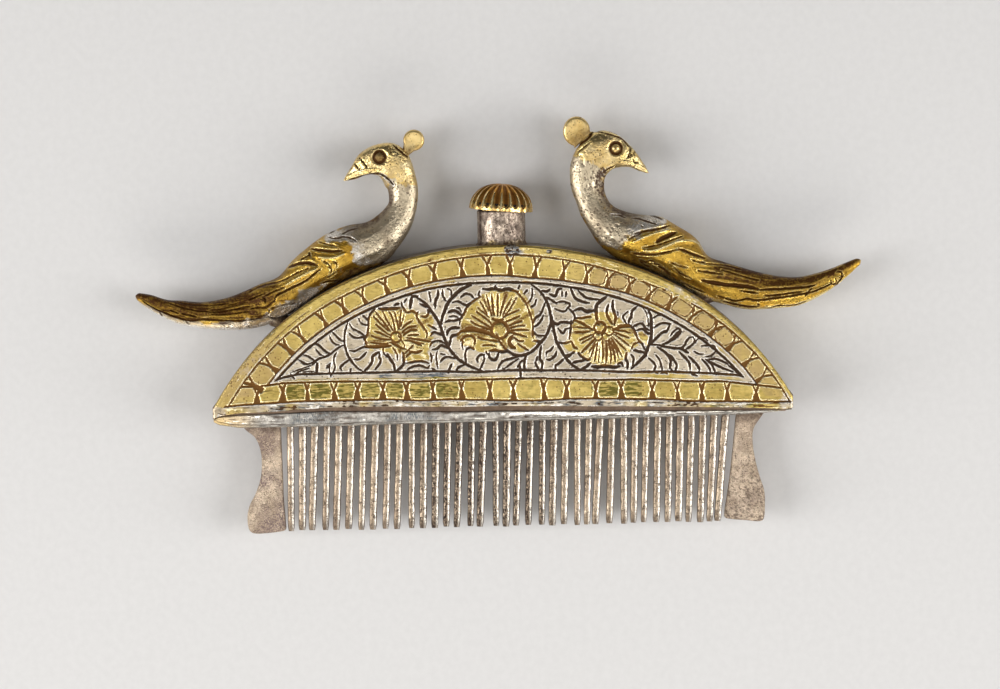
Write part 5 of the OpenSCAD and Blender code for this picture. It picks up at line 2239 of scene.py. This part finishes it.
    def crest(self, finish: Material) -> Object:
        """Builds the flat round crest.

        Args:
            finish: pitted gilt.

        Returns:
            The piece.
        """
        turn = np.linspace(0, 2 * math.pi, 160, endpoint=False)
        root, centre = np.array(self.crest_root), np.array(self.crest_centre)
        oval = centre + np.stack([self.crest_half[0] * np.cos(turn), self.crest_half[1] * np.sin(turn)], 1)
        middle = root.mean(0)
        away = (centre - middle) / np.linalg.norm(centre - middle)
        across = np.array([-away[1], away[0]])
        reach, side = (oval - middle) @ away, (oval - middle) @ across
        stem_half = np.linalg.norm(root[1] - root[0]) / 2
        sunk = -0.25
        facing = reach < (centre - middle) @ away
        kept = ~(facing & (np.abs(side) < self.stem)) if self.stem else reach > 0
        start = int(np.flatnonzero(kept & ~np.roll(kept, 1))[0])
        path = np.roll(np.stack([reach, side], 1), -start, axis=0)[np.roll(kept, -start)]
        corners = [[sunk, math.copysign(stem_half, path[end, 1])] for end in (-1, 0)]
        path = evenly(np.vstack([path, corners, path[:1]]), 0.06)[:-1]
        outline = middle + path[:, 0:1] * away + path[:, 1:2] * across
        profile = table("0.3,0.62 0.62,0.68 0.82,0.72 0.91,0.66 0.97,0.45 1,0.15")
        layers = np.vstack([profile * [1, -1], profile[::-1]])
        hub = outline.mean(0)
        rings = np.zeros((len(layers), len(outline), 3))
        for ring, (scale, height) in zip(rings, layers):
            ring[:, :2] = hub + (outline - hub) * scale
            ring[:, 2] = self.middle + height * self.crest_thick / 1.5
        x, y = rings[:, :, 0], rings[:, :, 1]
        rings[:, :, 2] += 0.04 * rough(x, y, 0.8, 77) * np.sign(layers[:, 1:2])
        near_root = ease(2.2, 0.2, (x - middle[0]) * away[0] + (y - middle[1]) * away[1])
        grime_and_shade = 0.6 * near_root * (0.8 + 0.5 * rough(x, y, 0.6, 80))
        grime_and_shade += 0.96 * unit(rough(x, y, 0.4, 79) - 0.3)
        gilt = unit(0.82 + 0.35 * rough(x, y, 1.2, 78))
        paint = {"gilt": gilt, "film_and_sheen": 0 * x, "grime_and_shade": np.clip(grime_and_shade, 0, 0.9)}
        return loft(rings, paint).piece(f"crest_{self.side.name.lower()}_disc", finish, 60)


@dataclass
class Neck:
    """The pinched and lapped tube that the stopper closes."""

    centre: Pair = (0.4, 5.0)
    outer: float = 3.7
    bore: float = 3.0
    foot: float = 23.9
    mouth: float = 30.7
    seam: float = math.radians(151)
    lap: float = 0.13
    around: int = 150

    def build(self, finish: Material) -> Object:
        """Builds the tube with its lap seam, dents and solder.

        Args:
            finish: mottled silver.

        Returns:
            The piece.
        """
        turn = np.linspace(0, 2 * math.pi, self.around, endpoint=False)[None]
        lip = np.radians(np.linspace(180, 0, 9))[1:-1]
        wall = (self.outer - self.bore) / 2
        shoulder = self.mouth - wall
        inner = [(self.bore, y) for y in np.linspace(self.foot, shoulder, 18)]
        over = [(self.bore + wall + wall * math.cos(a), shoulder + wall * math.sin(a)) for a in lip]
        down = [(self.outer, y) for y in np.linspace(shoulder, self.foot, 46)]
        profile = np.array(inner + over + down)
        radius, y = profile[:, 0:1], profile[:, 1:2] + 0 * turn
        outside = (radius > self.bore + wall) * 1.0
        past = ((turn - self.seam) / (2 * math.pi)) % 1
        dents = 0.02 * np.cos(5 * turn + 0.6) + 0.025 * lattice(turn * 1.9, y * 0.35, 81)
        reach = radius + outside * (dents + 0.24 * bell((y - 25.35) / 0.3) - self.lap * past)
        x, z = self.centre[0] + reach * np.cos(turn), self.centre[1] + reach * np.sin(turn)
        seam = bell((np.minimum(past, 1 - past) * 2 * math.pi * self.outer) / 0.24)
        solder = ease(26.5, 25.6, y + 0.35 * lattice(turn * 3, y * 0.2, 82))
        mottle = rough(turn * self.outer, y, 1.0, 83)
        fine = rough(turn * self.outer * 2, y * 0.8, 0.5, 85)
        grime_and_shade = 0.26 + 0.5 * mottle + 0.75 * fine + 1.2 * seam * outside + 0.4 * solder
        # Painted shade on the mouth's lip under the stopper and inside the bore.
        grime_and_shade += 0.9 * ease(30.3, 30.6, y) + (radius < self.bore + 0.05) * 0.7
        paint = {"gilt": unit(0.42 * solder * outside), "grime_and_shade": unit(grime_and_shade),
                 "film_and_sheen": unit(0.25 + 0.4 * mottle)}
        return loft(np.stack([x, y, z], -1)[:, ::-1], {key: grid[:, ::-1] for key, grid in paint.items()},
                    poles=False).piece("lapped_neck", finish, 60)


@dataclass
class Stopper:
    """The fluted stopper, which leans a little on the neck."""

    centre: Pair = (0.4, 5.0)
    seat: float = 30.75
    radius: float = 4.85
    height: float = 4.0
    hollow: float = 1.1
    flutes: int = 20
    flute_points: int = 14
    rows: int = 54
    flute_depth: float = 0.5
    lean: float = math.radians(5)
    disc: float = -0.56

    def tree(self) -> Tree:
        """Wires the fluted dome, from the middle of its underside over the rim to its top.

        Returns:
            The node tree.
        """
        wiring = Wiring.group("fluted_dome", "GeometryNodeTree", {
            "float": "Radius, Height, Flute Depth, Hollow", "int": "Flutes", "finish": "Finish"},
            {"shape": "Geometry"})
        given, maths = wiring.given, wiring.maths
        grid = wiring.first("GeometryNodeMeshGrid", {
            "Size X": 1.0, "Size Y": 1.0, "Vertices X": given("Flutes") * self.flute_points + 1,
            "Vertices Y": self.rows})
        u, v, _ = wiring.parts(wiring.first("GeometryNodeInputPosition"))
        turn, share = (u + 0.5) * (2 * math.pi), v + 0.5
        under = maths("MINIMUM", share / 0.15, 1.0)
        up = maths("MAXIMUM", (share - 0.15) / 0.85, 0.0)
        rise = up * (math.pi / 2)
        groove = 0.5 - 0.5 * maths("COSINE", turn * given("Flutes"))
        start = up - 0.05 - 0.14 * (1.0 - groove)
        inset = wiring.ease(groove, 0.12, 0.8) * wiring.ease(start, 0.0, 0.12) * wiring.ease(up, 0.97, 0.72)
        sink = inset * given("Flute Depth")
        scallop = groove * 0.00012 * wiring.ease(up, 0.2, 0.0)
        full = maths("POWER", maths("MAXIMUM", maths("COSINE", rise), 0.0), 0.85)
        out = (given("Radius") - sink - scallop) * full * under
        tall = (given("Height") - sink * 0.5) * maths("SINE", rise)
        tall = tall + given("Hollow") * wiring.ease(under, 0.92, 0.8)
        place = wiring.vector(out * maths("COSINE", turn), out * maths("SINE", turn), tall)
        # Painted highlights: pale gold film on the ribs and the plain lower band, burnish on the rib tops.
        ridge = wiring.ease(groove, 0.16, 0.0)
        pale_rib_highlight = maths("MAXIMUM", ridge, 1.0 - inset) * wiring.ease(up, 0.42, 0.06)
        crest = ridge * wiring.ease(up, 0.7, 0.3) * wiring.ease(up, 0.02, 0.08)
        # Grime with painted shade in the flutes, and painted shade under the dome.
        grime_and_shade = maths("MAXIMUM", inset * 0.8, wiring.ease(under, 0.98, 0.86) * 0.95)
        for name, value in (("grime_and_shade", grime_and_shade), ("film_and_sheen", pale_rib_highlight * 0.8), ("rub_and_highlight", crest), ("gilt", 1.0)):
            grid = wiring.store(grid, name, value)
        body = wiring.first("GeometryNodeSetPosition", {"Geometry": grid, "Position": place})
        return wiring.finish(body, given("Finish"), 0.00002)

    def build(self, finish: Material) -> Object:
        """Grows the dome and sets it on the neck's mouth.

        Args:
            finish: darkened gilt.

        Returns:
            The piece.
        """
        made = grow("fluted_stopper", np.zeros((1, 3)), {}, self.tree(), {
            "Radius": self.radius * MM, "Height": self.height * MM, "Flutes": self.flutes,
            "Flute Depth": self.flute_depth * MM, "Hollow": self.hollow * MM, "Finish": finish}, 50)
        sunk = self.radius * math.sin(self.lean)
        foot = Vector((self.centre[0], self.seat + sunk, self.centre[1])) * MM
        upright = Matrix.Rotation(-math.pi / 2, 4, "X") @ Matrix.Translation((0, 0, self.disc * MM))
        made.data.transform(Matrix.Translation(foot) @ Matrix.Rotation(-self.lean, 4, "Z") @ upright)
        return made


@dataclass
class ToothRow:
    """Thirty-eight teeth, filed by hand, and the guard at each end."""

    leans: Points
    first: float = -32.4
    last: float = 33.9
    shift: float = 0.8
    root: float = -0.61
    tip: float = -17.7
    middle: float = 5.0
    wide: float = 1.16
    deep: float = 1.7
    around: int = 20
    spans: int = 30
    guard_around: int = 64
    guard_round: float = 0.38

    def names(self) -> list[str]:
        """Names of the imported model's teeth."""
        return [f"tooth_{number:02d}" for number in range(1, len(self.leans) + 1)]

    def tree(self) -> Tree:
        """Wires one worn tooth and sets it along the row.

        Returns:
            The node tree.
        """
        wiring = Wiring.group("tooth_row", "GeometryNodeTree", {
            "shape": "Geometry", "float": "Length, Half Width, Half Depth, Waver, Seed",
            "finish": "Finish"}, {"shape": "Geometry"})
        given, maths, stored = wiring.given, wiring.maths, wiring.attribute
        u, v, _ = wiring.parts(wiring.first("GeometryNodeInputPosition"))
        turn, share = (u + 0.5) * (2 * math.pi), v + 0.5
        along = wiring.clip((share - 1 / self.spans) / ((self.spans - 2) / self.spans))
        closing = wiring.clip(maths("MINIMUM", share, 1.0 - share) * self.spans)
        size = closing * (1.0 - 0.2 * wiring.ease(along, 0.965, 1.0))
        sides = []
        for wave, half, taper in (("COSINE", "Half Width", 0.09), ("SINE", "Half Depth", 0.24)):
            value = maths(wave, turn)
            boxy = maths("SIGN", value) * maths("POWER", maths("ABSOLUTE", value), 0.55)
            sides.append(boxy * size * ((1.0 - along * taper) * given(half)))
        tooth = wiring.first("GeometryNodeMeshGrid", {
            "Size X": 1.0, "Size Y": 1.0, "Vertices X": self.around + 1, "Vertices Y": self.spans + 1})
        # The sides of each tooth, darkened below, and a painted highlight line down one front edge.
        flank = wiring.ease(maths("ABSOLUTE", maths("COSINE", turn)), 0.72, 0.92)
        tooth = wiring.store(tooth, "flank", flank)
        tooth = wiring.store(tooth, "arris_highlight", wiring.ease(maths("ABSOLUTE", turn - 1.09), 0.34, 0.16))
        place = wiring.vector(sides[0], along * given("Length") * -1.0, sides[1])
        tooth = wiring.first("GeometryNodeSetPosition", {"Geometry": tooth, "Position": place})
        tooth = wiring.first("GeometryNodeMergeByDistance", {"Geometry": tooth, "Distance": 0.00001})
        row = wiring.first("GeometryNodeInstanceOnPoints", {
            "Points": given("Geometry"), "Instance": tooth,
            "Rotation": wiring.vector(0.0, 0.0, stored("tilt")),
            "Scale": wiring.vector(stored("slim"), stored("reach"), 1.0)})
        row = wiring.first("GeometryNodeRealizeInstances", {"Geometry": row})
        spot = wiring.first("GeometryNodeInputPosition")
        _, height, _ = wiring.parts(spot)
        waver = wiring.noise(spot, 420.0, given("Seed")) * given("Waver")
        nudge = wiring.vector(waver, 0.0, waver)
        row = wiring.first("GeometryNodeSetPosition", {"Geometry": row, "Offset": nudge})
        patchy = wiring.noise(spot, 900.0, given("Seed") + 1.0)
        # Darker at the roots under the lip (stain and painted shade), at the tips and on the sides; film
        # and rub follow the painted highlight line.
        ends = wiring.ease(height, -0.0045, -0.0008) * 0.45 + wiring.ease(height, -0.0152, -0.0175) * 0.5
        stain_and_shade = maths("MAXIMUM", ends, stored("flank") * 0.85) + patchy * 0.3
        row = wiring.store(row, "grime_and_shade", wiring.clip(stain_and_shade))
        row = wiring.store(row, "film_and_sheen", stored("worn") - stored("arris_highlight"))
        row = wiring.store(row, "rub_and_highlight", wiring.clip(stored("arris_highlight") + patchy * 0.6) * stored("arris_highlight"))
        return wiring.finish(row, given("Finish"), 0.0)

    def build(self, finish: Material) -> Object:
        """Grows the row of teeth.

        Args:
            finish: worn silver.

        Returns:
            The piece.
        """
        random = np.random.default_rng(91)
        number = np.arange(len(self.leans))
        half = (len(self.leans) - 1) / 2
        even = self.first + (self.last - self.first) * number / (2 * half)
        roots = even + self.shift * (1 - ((number - half) / half) ** 2)
        points = np.stack([roots, 0 * roots + self.root, 0 * roots + self.middle], 1)
        length = self.root - self.tip
        values = {"tilt": np.arcsin(self.leans / length),
                  "slim": random.uniform(0.88, 1.06, len(roots)),
                  "reach": random.uniform(0.985, 1.0, len(roots)),
                  "worn": 0.1 + 0.6 * ease(8, 13, number) * ease(25, 20, number)}
        return grow("tooth_row", points, values, self.tree(), {
            "Length": length * MM, "Half Width": self.wide / 2 * MM, "Half Depth": self.deep / 2 * MM,
            "Waver": 0.0001, "Seed": 3.0, "Finish": finish}, 70)

    def guard(self, side: Side, rows: Points, speckle: float, finish: Material) -> Object:
        """Builds the guard at one end.

        Args:
            side: which end.
            rows: its outline, from the root down and back.
            speckle: how strongly dark specks show on it.
            finish: worn silver.

        Returns:
            The piece.
        """
        outline = flowing(rows, 8)
        closed = np.vstack([outline, outline[:1]])
        top, low = outline[:, 1].max(), outline[:, 1].min()
        foot = low + 0.02 + 0.9 * (1 - np.sin(quarter(26)))
        rings = []
        for height in np.concatenate([np.linspace(top - 0.01, foot[0], 110)[:-1], foot]):
            a, b = closed[:-1], closed[1:]
            crosses = (a[:, 1] > height) != (b[:, 1] > height)
            a, b = a[crosses], b[crosses]
            at = a[:, 0] + (height - a[:, 1]) * (b[:, 0] - a[:, 0]) / (b[:, 1] - a[:, 1])
            rounding = np.sqrt(np.clip((height - low) / 0.35, 0.1, 1))
            ring = rounded_ring((at.max() - at.min()) / 2, self.deep / 2 * rounding, self.guard_round,
                                self.guard_around)
            rings.append(np.stack([ring[:, 0] + (at.max() + at.min()) / 2, np.full(len(ring), height),
                                   self.middle - ring[:, 1]], 1))
        rings = np.array(rings)
        x, y, z = rings[:, :, 0], rings[:, :, 1], rings[:, :, 2]
        rings[:, :, 2] += 0.05 * rough(x, y, 3, 93) * np.sign(z - self.middle)
        crowd = 0.3 + 0.25 * rough(x, y, 3.2, 99) + 0.05 * (-9.5 - y)
        specks = np.clip(rough(x, y + z, 0.22, 95) - 0.45 + crowd * speckle, 0, 0.3) * 3 * speckle
        # Darker towards the root under the lip: stain and painted shade.
        stain_and_shade = 0.7 * ease(-3.6, -0.9, y) + 0.25 * unit(rough(x, y, 2.2, 97))
        film_and_sheen = np.clip(0.3 + 0.9 * rough(x, y, 2.4, 98), 0, 0.9) * (1.8 - 1.8 * speckle)
        grime_and_shade = np.clip(np.maximum(specks, stain_and_shade) + 0.3 * rough(x, y + z, 0.35, 96), 0, 0.9)
        paint = {"gilt": 0 * x, "film_and_sheen": film_and_sheen, "grime_and_shade": grime_and_shade}
        return loft(rings, paint).piece(f"guard_{side.name.lower()}_worn", finish, 60)


BIRDS = (
    dict(side=Side.LEFT, rows=LEFT_SECTIONS, work=LEFT_WORK, silver=LEFT_SILVER, saddle=LEFT_SADDLE,
         solder=(-33.6, 14.5, 2.0, 1.0), eye=(-17.82, 39.12), bright_eye=False, tarnish_and_shade=0.95,
         pitted=((LEFT_NECK, 130, 0.13),), crest_centre=(-12.6, 41.5), crest_half=(1.6, 1.6),
         crest_root=((-14.26, 40.08), (-13.36, 39.34)), stem=0.9),
    dict(side=Side.RIGHT, rows=RIGHT_SECTIONS, work=RIGHT_WORK, silver=RIGHT_SILVER, saddle=RIGHT_SADDLE,
         solder=(30.9, 16.7, 2.4, 1.0), eye=(17.97, 39.64), bright_eye=True, tarnish_and_shade=0.5,
         pitted=((RIGHT_NECK, 420, 0.17), (RIGHT_THROAT, 150, 0.2)), crest_centre=(12.1, 42.3),
         crest_half=(2.05, 2.25), crest_root=((14.5, 42.42), (11.6, 39.85)), stem=0.0),
)


@dataclass(frozen=True)
class Studio:
    """A pale floor, soft light from the sides and from over the teeth, and the camera."""

    aim: Triple = (-0.23, 10.5, 10.0)
    distance: float = 700.0
    tilt: float = math.radians(4)
    right: Triple = (0.99975, -0.02253, 0.00158)
    lens: float = 166.84
    floor_half: float = 1.6
    room: tuple[float, ...] = (0.42, 0.42, 0.43, 1)
    room_strength: float = 0.13

    def floor(self) -> Object:
        """Lays the pale floor that the comb rests on.

        Returns:
            The floor.
        """
        mesh = bpy.data.meshes.new("floor")
        half = self.floor_half
        corners = [(-half, -half, 0), (half, -half, 0), (half, half, 0), (-half, half, 0)]
        mesh.from_pydata(corners, [], [(0, 1, 2, 3)])
        paper = bpy.data.materials.new("pale_paper")
        paper.use_nodes = True
        wiring = Wiring(paper.node_tree)
        grain = wiring.noise(wiring.place(), 900.0, 2.0)
        shade = wiring.blend(wiring.ease(grain, -0.6, 0.6), (0.66, 0.65, 0.64), (0.69, 0.68, 0.67))
        surface = paper.node_tree.nodes["Principled BSDF"]
        wiring.feed(surface.inputs["Base Color"], shade)
        surface.inputs["Roughness"].default_value = 0.9
        mesh.materials.append(paper)
        return add("floor", mesh)

    def lamp(self, name: str, place: Triple, size: Pair, power: float, warmth: Colour) -> None:
        """Hangs one softbox that faces the comb.

        Args:
            name: its name.
            place: where it hangs, in metres.
            size: its width and height, in metres.
            power: in watts.
            warmth: colour of its light.
        """
        light = bpy.data.lights.new(name, "AREA")
        light.shape = "RECTANGLE"
        light.size, light.size_y = size
        light.energy = power
        light.color = warmth
        made = add(name, light)
        made.location = place
        made.rotation_euler = (Vector((0, 0.01, 0.005)) - Vector(place)).to_track_quat("-Z", "Y").to_euler()

    def light(self) -> None:
        """Hangs the lamps and sets the dim room round them."""
        warm, white = (1.0, 0.97, 0.93), (1.0, 1.0, 1.0)
        self.lamp("left_softbox", (-0.55, -0.06, 0.36), (0.34, 0.6), 3.7, white)
        self.lamp("right_softbox", (0.55, -0.06, 0.36), (0.34, 0.6), 3.2, white)
        self.lamp("foot_softbox", (0.0, -0.6, 0.26), (0.7, 0.25), 2.4, warm)
        self.lamp("over_softbox", (0.0, -0.1, 0.95), (0.66, 0.5), 1.5, warm)
        world = bpy.data.worlds.new("dim_room")
        world.use_nodes = True
        background = world.node_tree.nodes["Background"].inputs
        background["Color"].default_value = self.room
        background["Strength"].default_value = self.room_strength
        bpy.context.scene.world = world

    def camera(self) -> None:
        """Stands the camera where the comb fills the frame as it does in the photograph."""
        back = Vector((0, math.sin(self.tilt), math.cos(self.tilt)))
        right = Vector(self.right).normalized()
        right = (right - back * right.dot(back)).normalized()
        shot = bpy.data.cameras.new("front_view")
        shot.lens = self.lens
        shot.sensor_width = 36
        shot.clip_start, shot.clip_end = 0.01, 20
        made = add("front_view", shot)
        turn = Matrix((right, back.cross(right), back)).transposed().to_4x4()
        made.matrix_world = Matrix.Translation((Vector(self.aim) + back * self.distance) * MM) @ turn
        bpy.context.scene.camera = made


@dataclass
class Comb:
    """The whole perfume comb: its pieces, what they ride on and the nodes they stand for."""

    finishes: dict[str, Material]
    arch: Arch = field(default_factory=Arch)
    bar: BarLine = field(default_factory=lambda: BarLine(BAR_ROWS))

    def place(self, piece: Object, body: Body, slot: Slot, *nodes: str) -> None:
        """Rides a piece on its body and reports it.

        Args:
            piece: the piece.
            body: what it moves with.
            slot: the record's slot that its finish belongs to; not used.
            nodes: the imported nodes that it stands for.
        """
        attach(piece, body.value)
        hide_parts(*nodes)
        LOG.info("%s: %d faces, rides on %s", piece.name, len(piece.data.polygons), body.value)

    def dress(self, node: str, finish: str) -> None:
        """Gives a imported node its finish.

        Args:
            node: the node's name in the pack.
            finish: the finish's name.
        """
        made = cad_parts[node]
        made.data.materials.clear()
        made.data.materials.append(self.finishes[finish])
        LOG.info("%s: kept, finish %s", node, finish)

    def build(self) -> None:
        """Builds and dresses every piece."""
        finish = self.finishes
        front = EngravedFront(self.arch, self.bar)
        front.build(finish["engraved"])
        for piece in front.pieces:
            self.place(piece, Body.COMB, Slot.GILT, "front_plate")
        body = FlaskBody(self.arch, self.bar)
        self.place(body.lip(finish["lip"]), Body.COMB, Slot.SILVER, "base_bar")
        self.place(body.block(finish["block"]), Body.COMB, Slot.SILVER, "base_bar")
        self.place(body.back(finish["back"]), Body.COMB, Slot.SILVER, "back_plate")
        self.place(Neck().build(finish["neck"]), Body.COMB, Slot.SILVER, "neck")
        self.place(Stopper().build(finish["dome"]), Body.STOPPER, Slot.AGED_GILT, "stopper_cap")
        teeth = ToothRow(TOOTH_LEANS)
        self.place(teeth.build(finish["tooth"]), Body.COMB, Slot.SILVER, *teeth.names())
        for side, rows, speckle in ((Side.LEFT, GUARD_LEFT, 0.35), (Side.RIGHT, GUARD_RIGHT, 0.8)):
            guard = teeth.guard(side, rows, speckle, finish["guard"])
            self.place(guard, Body.COMB, Slot.SILVER, f"guard_{side.name.lower()}")
        for settings in BIRDS:
            bird = Peacock(arch=self.arch, **settings)
            name = bird.side.name.lower()
            self.place(bird.body(finish["bird"]), Body.COMB, Slot.GILT, f"peacock_{name}")
            self.place(bird.crest(finish["crest"]), Body.COMB, Slot.GILT, f"crest_{name}")
        # The edge band and the disc are dressed dark as painted shade.
        self.dress("edge_band", "band")
        self.dress("stopper_disc", "disc")
        self.dress("stopper_plug", "plug")


def main() -> None:
    """Builds the comb and its studio."""
    logging.basicConfig(level=logging.INFO, format="%(message)s")
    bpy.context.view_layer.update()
    shared = Weathering()
    finishes = {key: finish.build(shared) for key, finish in FINISHES.items()}
    Comb(finishes).build()
    studio = Studio()
    studio.floor()
    studio.light()
    studio.camera()
    bpy.context.scene.view_settings.view_transform = "Standard"


if __name__ == "__main__":
    main()
